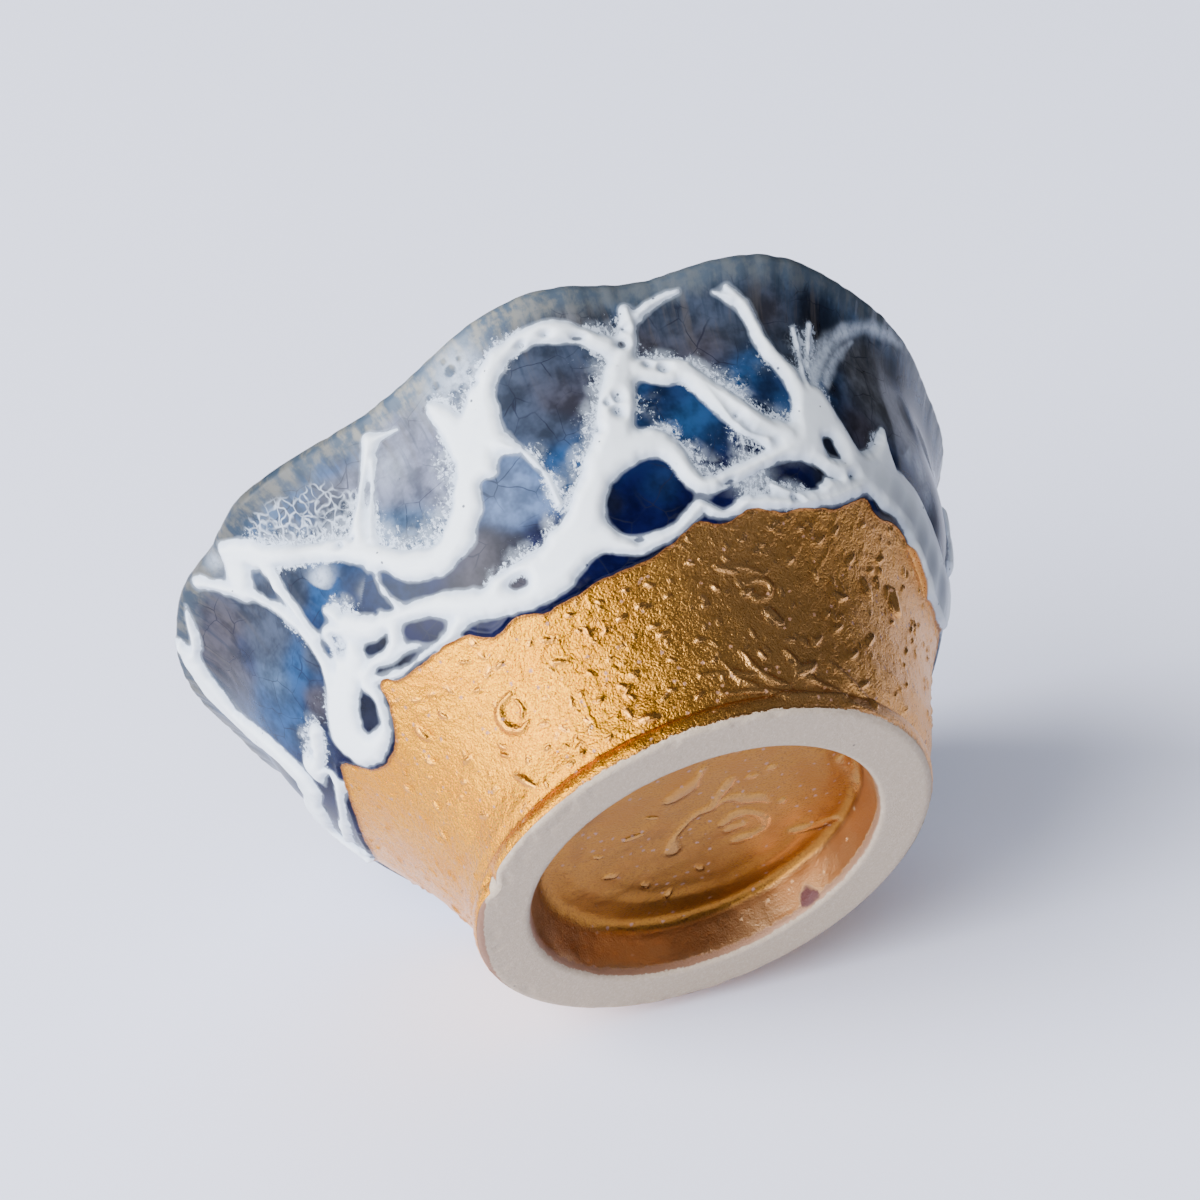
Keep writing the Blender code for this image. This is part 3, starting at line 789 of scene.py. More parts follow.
def outline_distance(deg, s, line_deg, line_s):
    """Distance in mm from a closed outline on the wall, negative inside it."""
    r = radius_at(s)
    best = np.full(deg.shape, FAR)
    inside = np.zeros(deg.shape, bool)
    for k in range(len(line_deg)):
        j = (k + 1) % len(line_deg)
        ax = np.radians(near_turn(line_deg[k], deg)) * r
        bx = np.radians(near_turn(line_deg[j], deg)) * r
        ay, by = line_s[k] - s, line_s[j] - s
        best = np.minimum(best, segment_distance(ax, ay, bx, by))
        crosses, at = crossing(ay, by, ax, bx)
        inside ^= crosses & (at > 0)
    return np.where(inside, -best, best)


def gold_distance(deg, s):
    """Distance in mm from the gold's upper edge, positive on the gold."""
    r = radius_at(s)
    best = np.full(deg.shape, FAR)
    above = np.zeros(deg.shape, int)
    for k in range(len(EDGE_DEG)):
        j = (k + 1) % len(EDGE_DEG)
        ta = near_turn(EDGE_DEG[k], deg)
        tb = ta + near_turn(EDGE_DEG[j], EDGE_DEG[k])
        ay, by = EDGE_S[k] - s, EDGE_S[j] - s
        best = np.minimum(best, segment_distance(np.radians(ta) * r, ay, np.radians(tb) * r, by))
        crosses, at = crossing(ta, tb, ay, by)
        above += (crosses & (at < 0)).astype(int)
    return np.where(above % 2 == 1, best, -best)


def cut_corners(p, q):
    """Points at a quarter and at three quarters of the way from each p to its q."""
    return np.stack([0.75 * p + 0.25 * q, 0.25 * p + 0.75 * q], 1).reshape(-1, p.shape[1])


def round_corners(points):
    """Closed outline with its corners cut twice, so that it runs smoothly."""
    p = np.asarray(points, float)
    for _ in range(2):
        p = cut_corners(p, np.roll(p, -1, axis=0))
    return p


def smooth_line(points):
    """Open line through its ends, with its corners cut once."""
    p = np.asarray(points, float)
    if len(p) < 3:
        return p
    return np.concatenate([p[:1], cut_corners(p[:-1], p[1:])[1:-1], p[-1:]])


def place_strokes(strokes):
    """Directions, wall lengths and half-widths in mm of each stroke that is given in pixels."""
    out = []
    for points in strokes:
        p = smooth_line(points)
        deg, s = onto_wall(p[:, :2])
        along = np.gradient(p[:, :2], axis=0)
        along /= np.linalg.norm(along, axis=1)[:, None] + 1e-9
        across = np.stack([-along[:, 1], along[:, 0]], 1)
        a, b = pixel_scale(deg, s)
        scale = np.hypot((a * across).sum(1), (b * across).sum(1))
        out.append((deg, s, p[:, 2] / np.maximum(scale, 4.0)))
    return out


def place_spots(spots):
    """Direction, wall length and the other values of each spot that is given in pixels."""
    deg, s = onto_wall([spot[:2] for spot in spots])
    return [(deg[k], s[k], *spot[2:]) for k, spot in enumerate(spots)]


FRONT_WHITE = place_strokes(WHITE_STROKES.values())
SOFT_ARCS = place_strokes(SOFT_STROKES.values())
GOLD_FOLDS = place_strokes(FOLDS.values())
FRONT_CELLS = [onto_wall(round_corners(outline)) for outline in CELLS.values()]
LACE_AT = place_spots(LACE)
VEILS_AT = place_spots(VEILS)
GREYED_AT = place_spots(THIN_AND_SHADED_WHITE)
BUBBLES_AT = place_spots(BUBBLES)
COMB_AT = place_spots(COMB)
TINTS_AT = {name: place_spots(spots) for name, spots in TINT_SPOTS.items()}

# Waves of the gold's edge behind: height in mm, waves per turn, start in degrees
EDGE_WAVES = ((1.7, 3.1, 20), (1.1, 7.3, 60), (0.5, 17, 10))
EDGE_RISE = 2.2


def gold_edge():
    """Directions and wall lengths of the gold's edge, carried on round the side that isn't seen."""
    deg, s = onto_wall(smooth_line(GOLD_EDGE))
    deg = np.where(deg < 90, deg + 360, deg)
    share = np.linspace(0, 1, 90)[1:-1]
    back_deg = deg[-1] + share * (deg[0] + 360 - deg[-1])
    wave = sum(high * np.sin(np.radians(back_deg * count + start)) for high, count, start in EDGE_WAVES)
    hold = smooth(np.minimum(share, 1 - share), 0.0, 0.12)
    back_s = s[-1] + share * (s[0] - s[-1]) + (wave - EDGE_RISE) * hold
    return np.concatenate([deg, back_deg]), np.concatenate([s, back_s])


EDGE_DEG, EDGE_S = gold_edge()

# Cells of the net behind: wall length of each row and its number of cells
CELL_ROWS = ((4.5, 9), (9.5, 10), (14.5, 12), (19.5, 13))


def scatter_cells():
    """Direction and wall length of the middle of each cell of the hidden side's net."""
    out = []
    for row, (middle, count) in enumerate(CELL_ROWS):
        for k in range(count):
            turned = (k + 0.5 * (row % 2) + rng.uniform(-0.28, 0.28)) * 360.0 / count
            out.append((turned, middle + rng.uniform(-1.4, 1.4)))
    return out


BACK_CELLS = scatter_cells()


def back_net(deg, s, points):
    """Signed distance from the hidden side's net: white along the borders of scattered cells."""
    wander_x = cloud(points, 5.0, 11) * 2.0
    wander_y = cloud(points, 5.0, 12) * 2.0
    r = radius_at(s)
    first = np.full(deg.shape, FAR)
    second = np.full(deg.shape, FAR)
    for cell_deg, cell_s in BACK_CELLS:
        around = np.radians(near_turn(cell_deg, deg)) * r
        d = np.hypot(around + wander_x, (cell_s - s) * 1.15 + wander_y)
        second = np.minimum(second, np.maximum(first, d))
        first = np.minimum(first, d)
    width = 0.55 + 1.1 * smooth(s, 5.0, 17.0) + 0.5 * cloud(points, 6.0, 13)
    fade = 3.0 * smooth(s, 8.0, 3.0) + 0.8 * np.maximum(cloud(points, 7.0, 14), 0.0)
    return (second - first) * 0.5 - width + fade


def spot_distance(deg, s, spot_deg, spot_s):
    """Distance in mm along the wall from a spot."""
    return np.hypot(np.radians(near_turn(spot_deg, deg)) * radius_at(s), spot_s - s)


def photographed(deg):
    """Share of the photographed side: 1 where the photograph shows the wall, 0 behind."""
    return smooth(np.abs(near_turn(deg, SEEN_DIRECTION)), SEEN_HALF + SEEN_MARGIN, SEEN_HALF)


def nearby(deg, s, line_deg, line_s, reach):
    """Which points lie close enough to a line or outline to be touched by it."""
    span = np.degrees(reach / radius_at(line_s).min())
    middle = (line_deg.min() + line_deg.max()) / 2
    half = (line_deg.max() - line_deg.min()) / 2 + span
    pick = np.abs(near_turn(deg, middle)) < half
    return pick & (s > line_s.min() - reach) & (s < line_s.max() + reach)


def front_net(deg, s):
    """Signed distances from the white strokes and from the openings between them."""
    white = np.full(deg.shape, NET_REACH)
    for line_deg, line_s, width in FRONT_WHITE:
        pick = nearby(deg, s, line_deg, line_s, width.max() + 3.0)
        if pick.any():
            d = stroke_distance(deg[pick], s[pick], line_deg, line_s, width)
            white[pick] = smin(white[pick], d, STROKE_FLOW)
    cells = np.full(deg.shape, NET_REACH)
    for line_deg, line_s in FRONT_CELLS:
        pick = nearby(deg, s, line_deg, line_s, 3.0)
        if pick.any():
            d = outline_distance(deg[pick], s[pick], line_deg, line_s)
            cells[pick] = np.minimum(cells[pick], d)
    for spot_deg, spot_s, radius in BUBBLES_AT:
        cells = np.minimum(cells, spot_distance(deg, s, spot_deg, spot_s) - radius / PIXELS_PER_MM)
    return -smin(-white, cells, OPENING_FLOW), cells


def spot_field(deg, s, spots, spread=1.0):
    """Strongest of a list of soft round spots at each point."""
    field = np.zeros(deg.shape)
    for spot_deg, spot_s, reach, strength in spots:
        blob = bell(spot_distance(deg, s, spot_deg, spot_s) / (reach / PIXELS_PER_MM * spread))
        field = np.maximum(field, strength * blob)
    return field


def graded(depth, stops):
    """Colour of the blue glaze by its depth below the rim."""
    tints = np.array([TINTS[name] for name in GRADE])
    return np.stack([np.interp(depth, stops, tints[:, c]) for c in range(3)], -1)


def wall_tint(deg, s, points):
    """Tint of the blue glaze: by the depth below the rim, then by the named spots."""
    total = graded(s / GRADE_LENGTH + 0.10 * cloud(points, 6.0, 17), WALL_GRADE) * SPOT_FLOOR
    weight = np.full(deg.shape, SPOT_FLOOR)
    moved_deg = deg + np.degrees(cloud(points, 2.6, 21) * 0.7 / radius_at(s))
    moved_s = s + cloud(points, 2.6, 22) * 0.7
    for name, spots in TINTS_AT.items():
        for spot_deg, spot_s, reach in spots:
            d = spot_distance(moved_deg, moved_s, spot_deg, spot_s)
            share = bell(d / (reach / PIXELS_PER_MM * 0.9))
            total += share[:, None] * np.array(TINTS[name])
            weight += share
    return total / weight[:, None]


def veil_field(deg, s, points, cells, front):
    """How milky the glaze is: veils and soft arcs in front, a few clouds behind."""
    veil = spot_field(deg, s, VEILS_AT)
    for line_deg, line_s, width in SOFT_ARCS:
        d = stroke_distance(deg, s, line_deg, line_s, width) + 0.3 * cloud(points, 1.4, 24)
        veil = np.maximum(veil, 0.85 * smooth(d, 0.7, -0.7))
    veil = veil * smooth(cells, -0.05, 0.12)
    return veil * front + (1 - front) * np.clip(0.5 * cloud(points, 8.0, 16), 0.0, 0.4)


def wall_fields(deg, s, points):
    """Distances, tints and relief of the outer wall at each point."""
    shape = deg.shape
    deg, s, points = deg.ravel(), s.ravel(), points.reshape(-1, 3)
    front = photographed(deg)
    gold = gold_distance(deg, s) + 0.10 * cloud(points, 1.1, 1) + 0.05 * cloud(points, 0.45, 2)
    rough = 0.16 * cloud(points, 1.5, 3) + 0.08 * cloud(points, 0.6, 4)
    white, cells = front_net(deg, s)
    white = white * front + back_net(deg, s, points) * (1 - front) + rough
    scattered = np.clip(0.4 + 0.8 * cloud(points, 6.0, 15), 0.0, 0.9)
    lace = spot_field(deg, s, LACE_AT, 1.15) * front + scattered * (1 - front)
    veil = veil_field(deg, s, points, cells, front)
    lay = laid_flat(deg, s)
    # White stands above the glaze, and the glaze a little above the gold
    glazed = smooth(gold, 0.35, -0.35)
    t = np.clip(-white / WHITE_SLOPE, 0.0, 1.0) * glazed
    relief = WHITE_HEIGHT * t * (2 - t) + GLAZE_HEIGHT * glazed
    relief += EDGE_BEAD * bell((gold + 0.42) / 0.3)
    relief += 0.05 * cloud(points, 5.0, 18) * glazed + 0.05 * cloud(points, 2.2, 19) * t
    # Small waves that run down from the rim
    relief += RIM_WAVES * glazed * cloud(lay * np.array([1.0, 1.0, 0.14]), 1.0, 20) * smooth(s, 6.5, 1.2)
    relief += 0.03 * veil * cloud(points, 0.9, 23) * glazed
    ground, drop = gold_relief(deg, s, points)
    on_gold = smooth(gold, -0.1, 0.4)
    flat = {
        "white": white,
        "gold": gold,
        "lace": lace,
        "comb": spot_field(deg, s, COMB_AT) * front,
        "veil": veil,
        # Grey field: thin white, and painted shade on the right side
        "grey": spot_field(deg, s, GREYED_AT) * front,
        "drop": drop * on_gold,
        "relief": relief + ground * on_gold,
    }
    out = {name: value.reshape(shape) for name, value in flat.items()}
    out["tint"] = wall_tint(deg, s, points).reshape(shape + (3,))
    out["lay"] = lay.reshape(shape + (3,))
    return out


def laid_flat(deg, s):
    """Coordinates that run round the wall and down it, for streaks that follow the slope."""
    a = np.radians(deg)
    return np.stack([LAY_RADIUS * np.cos(a), LAY_RADIUS * np.sin(a), s], -1)


def placed_drops():
    """The larger drops of the gold, where the photograph shows them."""
    out = []
    deg, s = onto_wall([drop[:2] for drop in BIG_DROPS])
    a, b = pixel_scale(deg, s)
    for k, (_, _, half, wide, turn) in enumerate(BIG_DROPS):
        per_mm = np.stack([a[k], b[k]], 1)
        c, d = math.cos(math.radians(turn)), -math.sin(math.radians(turn))
        along = np.linalg.solve(per_mm, np.array([c, d]))
        across = np.linalg.solve(per_mm, np.array([-d, c]))
        size = (half * np.hypot(*along), wide * np.hypot(*across))
        height = 0.17 + 0.30 * min(size)
        out.append((deg[k], s[k], *size, math.atan2(along[1], along[0]), height, rng.uniform(0.2, 0.7)))
    return out


# How many small drops are tried, and the direction before which they grow fewer
SMALL_DROPS = 900
FEWER_BEFORE = 236.0


def scattered_drops():
    """Small drops all round the gold, fewer towards the left of the photograph."""
    out = []
    for _ in range(SMALL_DROPS):
        turned = rng.uniform(0, 360)
        if rng.uniform() > 0.45 + 0.55 * float(smooth(near_turn(turned, FEWER_BEFORE), 0.0, 24.0)):
            continue
        wide = rng.uniform(0.17, 0.40)
        half = wide * rng.uniform(1.0, 2.2)
        down = rng.uniform(17.0, WALL_LENGTH - 2.4)
        turn, tone = rng.uniform(0, math.pi), rng.uniform(0.0, 0.8)
        out.append((turned, down, half, wide, turn, 0.07 + 0.28 * wide, tone))
    return out


# Direction, wall length, half length, half width, turn, height and tone of each drop of the gold
DROPS = placed_drops() + scattered_drops()
# Margin round a drop, and about the narrowest radius of the gold, in millimetres
DROP_MARGIN = 0.3
GOLD_RADIUS = 21.0


def add_drops(deg, s, bend, lift, tone):
    """Raise the drops out of the gold, and note the tone of each."""
    order = np.argsort(deg)
    sorted_deg = deg[order]
    for d0, s0, half, wide, turn, high, shade in DROPS:
        span = np.degrees((half + DROP_MARGIN) / GOLD_RADIUS)
        picks = []
        for base in (d0 - 360, d0, d0 + 360):
            i, j = np.searchsorted(sorted_deg, (base - span, base + span))
            picks.append(order[i:j])
        pick = np.concatenate(picks)
        pick = pick[np.abs(s[pick] - s0) < half + DROP_MARGIN]
        if not len(pick):
            continue
        x = np.radians(near_turn(deg[pick], d0)) * radius_at(s[pick])
        y = s[pick] - s0
        u = (x * math.cos(turn) + y * math.sin(turn)) / half
        v = (-x * math.sin(turn) + y * math.cos(turn) - 0.3 * wide * np.sin(u * 2.0)) / wide
        raised = high * np.clip(1 - u * u - v * v * (1.3 + 0.5 * u) + bend[pick], 0.0, 1.0)
        taller = raised > lift[pick]
        lift[pick] = np.where(taller, raised, lift[pick])
        tone[pick] = np.where(taller, shade, tone[pick])


def gold_relief(deg, s, points):
    """Grain, wrinkles and drops of the gold ground, and a mask of the drops."""
    grain = 0.030 * cloud(points, 0.55, 31) + 0.035 * cloud(points, 1.6, 33) + 0.06 * cloud(points, 3.4, 36)
    fold = 1 - np.abs(cloud(points * np.array([1.0, 1.0, 1.6]), 1.9, 34)) * 2.2
    grain += 0.08 * np.clip(fold, 0, 1) ** 3 * smooth(cloud(points, 7.0, 35), -0.1, 0.5)
    lift = np.zeros(deg.shape)
    tone = np.zeros(deg.shape)
    bend = 0.14 * cloud(points, 1.1, 37)
    add_drops(deg, s, bend, lift, tone)
    for line_deg, line_s, width in GOLD_FOLDS:
        pick = nearby(deg, s, line_deg, line_s, width.max() + 0.6)
        if pick.any():
            d = stroke_distance(deg[pick], s[pick], line_deg, line_s, width) + 0.5 * bend[pick]
            lift[pick] = np.maximum(lift[pick], GOLD_FOLD_HEIGHT * smooth(d, 0.20, -0.42))
    drop = smooth(lift, 0.02, 0.10)
    return grain * (1 - 0.8 * drop) + lift, drop * (0.35 + 0.65 * tone)


def bowl_fields(deg, s, points):
    """White line, tint and small relief of the inside of the bowl."""
    down = BOWL_LENGTH - s
    tint = graded(down / BOWL_LENGTH + 0.05 * cloud(points, 6.0, 41), BOWL_GRADE)
    turn = np.radians(deg)
    edge = 7.0 + 2.2 * np.sin(turn * 5) + 1.1 * np.sin(turn * 11 + 0.7) + 1.3 * cloud(points, 4.0, 43)
    thin = 1.2 * smooth(cloud(points, 9.0, 45), -0.2, 0.5)
    white = np.abs(edge - down) - 0.55 - 0.5 * cloud(points, 5.0, 44) + thin
    t = np.clip(-white, 0, 1)
    return white, tint, 0.05 * cloud(points, 6.0, 42) + 0.3 * t * (2 - t)


def onto_recess_floor(pixels):
    """Where each photograph pixel meets the flat floor of the recess, in millimetres."""
    p = np.asarray(pixels, float)
    ray = np.stack([(p[:, 0] - CENTRE) / FOCAL, -(p[:, 1] - CENTRE) / FOCAL, -np.ones(len(p))], 1) @ CAM_AXES
    far = (RECESS - CAM_PLACE[2]) / ray[:, 2]
    return CAM_PLACE + ray * far[:, None]


def recess_drops():
    """Place and the two half axes of each small drop on the recess floor."""
    out = []
    places = onto_recess_floor([drop[:2] for drop in RECESS_DROPS])
    for place, (x, y, half, wide, turn) in zip(places, RECESS_DROPS):
        c, d = math.cos(math.radians(turn)), math.sin(math.radians(turn))
        ends = onto_recess_floor([(x + half * c, y - half * d), (x + wide * d, y + wide * c)])
        out.append((place, ends[0] - place, ends[1] - place))
    return out


def recess_folds():
    """Points and half-widths in millimetres of each wrinkle on the recess floor."""
    out = []
    for points in RECESS_FOLDS.values():
        p = smooth_line(points)
        out.append((onto_recess_floor(p[:, :2]), p[:, 2] / PIXELS_PER_MM * RECESS_FOLD_SPREAD))
    return out


RECESS_DROPS_AT = recess_drops()
RECESS_FOLDS_AT = recess_folds()


def recess_lift(points):
    """Height of the drops and wrinkles on the recess floor."""
    lift = np.zeros(points.shape[:-1])
    bend = 0.25 * cloud(points, 1.4, 51)
    x, y = points[..., 0], points[..., 1]
    for place, along, across in RECESS_DROPS_AT:
        dx, dy = x - place[0], y - place[1]
        u = (dx * along[0] + dy * along[1]) / (along @ along)
        v = (dx * across[0] + dy * across[1]) / (across @ across) - 0.35 * np.sin(u * 2.2)
        q = np.clip(1 - u * u - v * v + bend, 0.0, 1.0)
        lift = np.maximum(lift, RECESS_DROP_HEIGHT * q ** 0.5 * (u * u + v * v < 3))
    for line, width in RECESS_FOLDS_AT:
        for k in range(len(line) - 1):
            start, end = line[k], line[k + 1]
            d = segment_distance(start[0] - x, start[1] - y, end[0] - x, end[1] - y, width[k], width[k + 1])
            lift = np.maximum(lift, RECESS_FOLD_HEIGHT * smooth(d + 0.8 * bend, 0.32, -0.50))
    return lift


def foot_fields(points):
    """Small relief of the ring's clay and of the gold inside the recess, and a mask of its drops."""
    z = points[..., 2]
    inside = smooth(z, 0.4, 1.4)
    radial = np.hypot(points[..., 0] - BODY_MIDDLE[0], points[..., 1] - BODY_MIDDLE[1])
    flat = smooth(z, 4.0, 4.9)
    wander = 0.45 * cloud(points, 6.0, 50)
    faint = 0.55 + 0.45 * cloud(points, 8.0, 58)
    rings = 0.15 * bell((radial - 12.2 - wander) / 0.75) - 0.08 * bell((radial - 10.6 - wander) / 0.8)
    lift = recess_lift(points)
    grain = 0.015 * cloud(points, 0.6, 53) + 0.06 * cloud(points, 2.2, 54)
    gold = flat * (rings * faint + lift) + inside * grain
    gold += inside * (1 - flat) * 0.08 * cloud(points * np.array([1.0, 1.0, 0.5]), 2.5, 55)
    edge = smooth(radial, FOOT_RADIUS - 1.6, FOOT_RADIUS - 0.5) * (1 - inside)
    clay = -0.02 * np.clip(cloud(points, 0.8, 56), 0, 1) - 0.16 * edge * np.clip(cloud(points, 1.1, 57), 0, 1)
    return clay * (1 - inside) + gold * inside, smooth(lift, 0.02, 0.12) * flat


RAISED = []


def add_field(mesh, name, values):
    """Store the values of a field on the points of a mesh, in the kind that its shader reads."""
    flat = values.astype(np.float32)
    if name == "lay":
        kind, slot = "FLOAT_VECTOR", "vector"
    elif values.ndim == 3:
        kind, slot = "FLOAT_COLOR", "color"
        flat = np.concatenate([flat, np.ones(flat.shape[:2] + (1,), np.float32)], -1)
    else:
        kind, slot = "FLOAT", "value"
    mesh.attributes.new(name, kind, "POINT").data.foreach_set(slot, flat.ravel())


def add_grid(name, points, normals, fields, material, slot):
    """Mesh of a grid of points in millimetres, with its normals and its named fields."""
    RAISED.append(points.reshape(-1, 3))
    n, m = points.shape[:2]
    mesh = bpy.data.meshes.new(name)
    index = np.arange(n * m).reshape(n, m)
    a, b, c, d = index[:-1, :-1], index[1:, :-1], index[1:, 1:], index[:-1, 1:]
    quads = np.stack([a, d, c, b], -1).reshape(-1, 4)
    count = len(quads)
    mesh.vertices.add(n * m)
    mesh.vertices.foreach_set("co", (points.reshape(-1, 3) * MM).astype(np.float32).ravel())
    mesh.loops.add(count * 4)
    mesh.loops.foreach_set("vertex_index", quads.ravel().astype(np.int32))
    mesh.polygons.add(count)
    mesh.polygons.foreach_set("loop_start", np.arange(0, count * 4, 4, dtype=np.int32))
    mesh.update(calc_edges=True)
    mesh.shade_smooth()
    for key, values in fields.items():
        add_field(mesh, key, values)
    mesh.normals_split_custom_set_from_vertices(normals.reshape(-1, 3).tolist())
    mesh.materials.append(material)
    piece = bpy.data.objects.new(name, mesh)
    bpy.context.scene.collection.objects.link(piece)
    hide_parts("sake_cup")
    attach(piece, "root")


def grid_normals(points):
    """Outward unit normals of a grid whose rows run round and columns run down the wall."""
    n = np.cross(np.gradient(points, axis=1), np.gradient(points, axis=0))
    return n / (np.linalg.norm(n, axis=-1, keepdims=True) + 1e-12)


def with_margin(values):
    """Evenly continued by one step at both ends."""
    first = values[0] - (values[1] - values[0])
    last = values[-1] + (values[-1] - values[-2])
    return np.concatenate([[first], values, [last]])


def patch(section, deg, s, fields_of):
    """Base form, raised by its relief, with a margin of one step so that neighbours share their normals."""
    dd, ss = np.meshgrid(with_margin(deg), with_margin(s), indexing="ij")
    base = form(section, dd, ss)
    fields = fields_of(dd, ss, base)
    raised = base + grid_normals(base) * fields.pop("relief")[..., None]
    cut = (slice(1, -1), slice(1, -1))
    return raised[cut], grid_normals(raised)[cut], {name: values[cut] for name, values in fields.items()}


class Nodes:
    """Small helper that wires the shader nodes of a material."""

    def __init__(self, name):
        self.material = bpy.data.materials.new(name)
        self.material.use_nodes = True
        self.tree = self.material.node_tree
        self.shader = self.tree.nodes["Principled BSDF"]

    def put(self, socket, value):
        """Link a node's output to a socket, or set the socket's own value."""
        if isinstance(value, bpy.types.NodeSocket):
            self.tree.links.new(value, socket)
        else:
            socket.default_value = value

    def node(self, kind, inputs=(), **settings):
        """Node with its settings and its inputs."""
        made = self.tree.nodes.new(kind)
        for key, value in settings.items():
            setattr(made, key, value)
        for key, value in inputs:
            self.put(made.inputs[key], value)
        return made

    def field(self, name, output="Fac"):
        """Field that the mesh carries under a name."""
        made = self.node("ShaderNodeAttribute", attribute_name=name, attribute_type="GEOMETRY")
        return made.outputs[output]

    def millimetres(self):
        """Object coordinates in millimetres."""
        return self.scaled(self.node("ShaderNodeTexCoord").outputs["Object"], 1.0 / MM)

    def math(self, operation, a, b=0.0, clamp=False):
        """Result of one sum."""
        return self.node("ShaderNodeMath", ((0, a), (1, b)), operation=operation, use_clamp=clamp).outputs[0]

    def add(self, a, b):
        """Sum of two values."""
        return self.math("ADD", a, b)

    def sub(self, a, b):
        """Difference of two values."""
        return self.math("SUBTRACT", a, b)

    def most(self, a, b):
        """Larger of two values."""
        return self.math("MAXIMUM", a, b)

    def mul(self, a, b, *more):
        """Product of all values."""
        product = self.math("MULTIPLY", a, b)
        for value in more:
            product = self.math("MULTIPLY", product, value)
        return product

    def rest(self, value):
        """What a share leaves of 1."""
        return self.sub(1.0, value)

    def scaled(self, vector, factor):
        """Vector times a number."""
        return self.node("ShaderNodeVectorMath", ((0, vector), (3, factor)), operation="SCALE").outputs[0]

    def vector(self, operation, a, b):
        """Result of a sum of two vectors."""
        return self.node("ShaderNodeVectorMath", ((0, a), (1, b)), operation=operation).outputs[0]

    def first(self, kind, value):
        """First part of a vector or of a colour."""
        return self.node(kind, ((0, value),)).outputs[0]

    def step(self, value, low, high, out_low=0.0, out_high=1.0):
        """Smooth step from out_low at low to out_high at high."""
        ends = (("From Min", low), ("From Max", high), ("To Min", out_low), ("To Max", out_high))
        made = self.node("ShaderNodeMapRange", (("Value", value),) + ends,
                         interpolation_type="SMOOTHSTEP", clamp=True)
        return made.outputs["Result"]

    def noise(self, vector, scale, detail=2.0, rough=0.5, warp=0.0, output="Fac"):
        """Noise from 0 to 1 with a number of features per millimetre."""
        shape = (("Scale", scale), ("Detail", detail), ("Roughness", rough), ("Distortion", warp))
        return self.node("ShaderNodeTexNoise", (("Vector", vector),) + shape).outputs[output]

    def web(self, vector, scale):
        """Distance from the borders of scattered cells."""
        inputs = (("Vector", vector), ("Scale", scale))
        return self.node("ShaderNodeTexVoronoi", inputs, feature="DISTANCE_TO_EDGE").outputs["Distance"]

    def dots(self, vector, scale):
        """Distance from the middle of scattered cells, and a value that each cell keeps."""
        cells = self.node("ShaderNodeTexVoronoi", (("Vector", vector), ("Scale", scale))).outputs
        return cells["Distance"], self.first("ShaderNodeSeparateColor", cells["Color"])

    def mix(self, factor, a, b):
        """Blend of two colours."""
        return self.node("ShaderNodeMix", ((0, factor), (6, a), (7, b)), data_type="RGBA").outputs[2]

    def blend(self, factor, a, b):
        """Blend of two values."""
        return self.node("ShaderNodeMix", ((0, factor), (2, a), (3, b)), data_type="FLOAT").outputs[0]

    def bump(self, height, strength, distance):
        """Normal that follows a fine height."""
        inputs = (("Height", height), ("Strength", strength), ("Distance", distance))
        return self.node("ShaderNodeBump", inputs).outputs["Normal"]

    def surface(self, **values):
        """Feed the inputs of the material's own shader, named with underscores."""
        for name, value in values.items():
            self.put(self.shader.inputs[name.replace("_", " ")], value)

    def finish_with(self, factor, other):
        """Mix another shader over the material's own."""
        both = self.node("ShaderNodeMixShader", ((0, factor), (1, self.shader.outputs[0]), (2, other)))
        self.tree.links.new(both.outputs[0], self.tree.nodes["Material Output"].inputs["Surface"])

    def soften(self, colour, share, normal):
        """Let a share of the surface go without its mirror shine."""
        plain = self.node("ShaderNodeBsdfDiffuse", (("Color", colour), ("Normal", normal))).outputs[0]
        self.finish_with(share, plain)


# Colours of the white net, thick and thin, and of the pinholes in it
WHITE_GLAZE = (0.585, 0.63, 0.68, 1.0)
THIN_WHITE = (0.40, 0.46, 0.56, 1.0)
BLUISH_WHITE = (0.43, 0.49, 0.58, 1.0)
PINHOLE = (0.03, 0.035, 0.055, 1.0)
# Runs and crackle of the blue glaze
BROWN_RUN = (0.046, 0.042, 0.042, 1.0)
BLUE_RUN = (0.006, 0.011, 0.022, 1.0)
CRACK = (0.006, 0.007, 0.014, 1.0)
# Rim
RIM_BLUE = (0.042, 0.062, 0.090, 1.0)
RIM_BEIGE = (0.140, 0.138, 0.122, 1.0)
RIM_EDGE = (0.185, 0.182, 0.162, 1.0)
RIM_SHADE = (0.036, 0.048, 0.064, 1.0)
# Gold lustre on the wall
GOLD = (0.81, 0.325, 0.008, 1.0)
GOLD_DEEP = (0.60, 0.228, 0.008, 1.0)
# Duller, darker gold towards which the wall's gold turns on its shaded side: painted shade
GOLD_PAINTED_SHADE = (0.60, 0.305, 0.105, 1.0)
GOLD_WARMTH = (0.86, 0.78, 0.85)
GOLD_SPECK = (0.27, 0.15, 0.125, 1.0)
GOLD_DROP = (0.56, 0.34, 0.18, 1.0)
GOLD_LINE = (0.30, 0.115, 0.03, 1.0)
CLAY_LINE = (0.20, 0.085, 0.03, 1.0)
# Gold in the recess
SATIN_GOLD = (0.33, 0.142, 0.024, 1.0)
SATIN_DEEP = (0.19, 0.078, 0.018, 1.0)
SATIN_DROP = (0.66, 0.40, 0.16, 1.0)
# Side of the recess: painted shade on the left, painted light on the right
RECESS_SIDE_PAINTED_SHADE = (0.36, 0.205, 0.105, 1.0)
RECESS_SIDE_PAINTED_LIGHT = (0.86, 0.54, 0.27, 1.0)
SIDE_BAND = (0.22, 0.115, 0.075, 1.0)
SIDE_SPOT = (0.085, 0.03, 0.03, 1.0)
# Bare clay and its pits
CLAY = (0.300, 0.237, 0.175, 1.0)
CLAY_PALE = (0.358, 0.294, 0.226, 1.0)
CLAY_PIT = (0.07, 0.055, 0.05, 1.0)


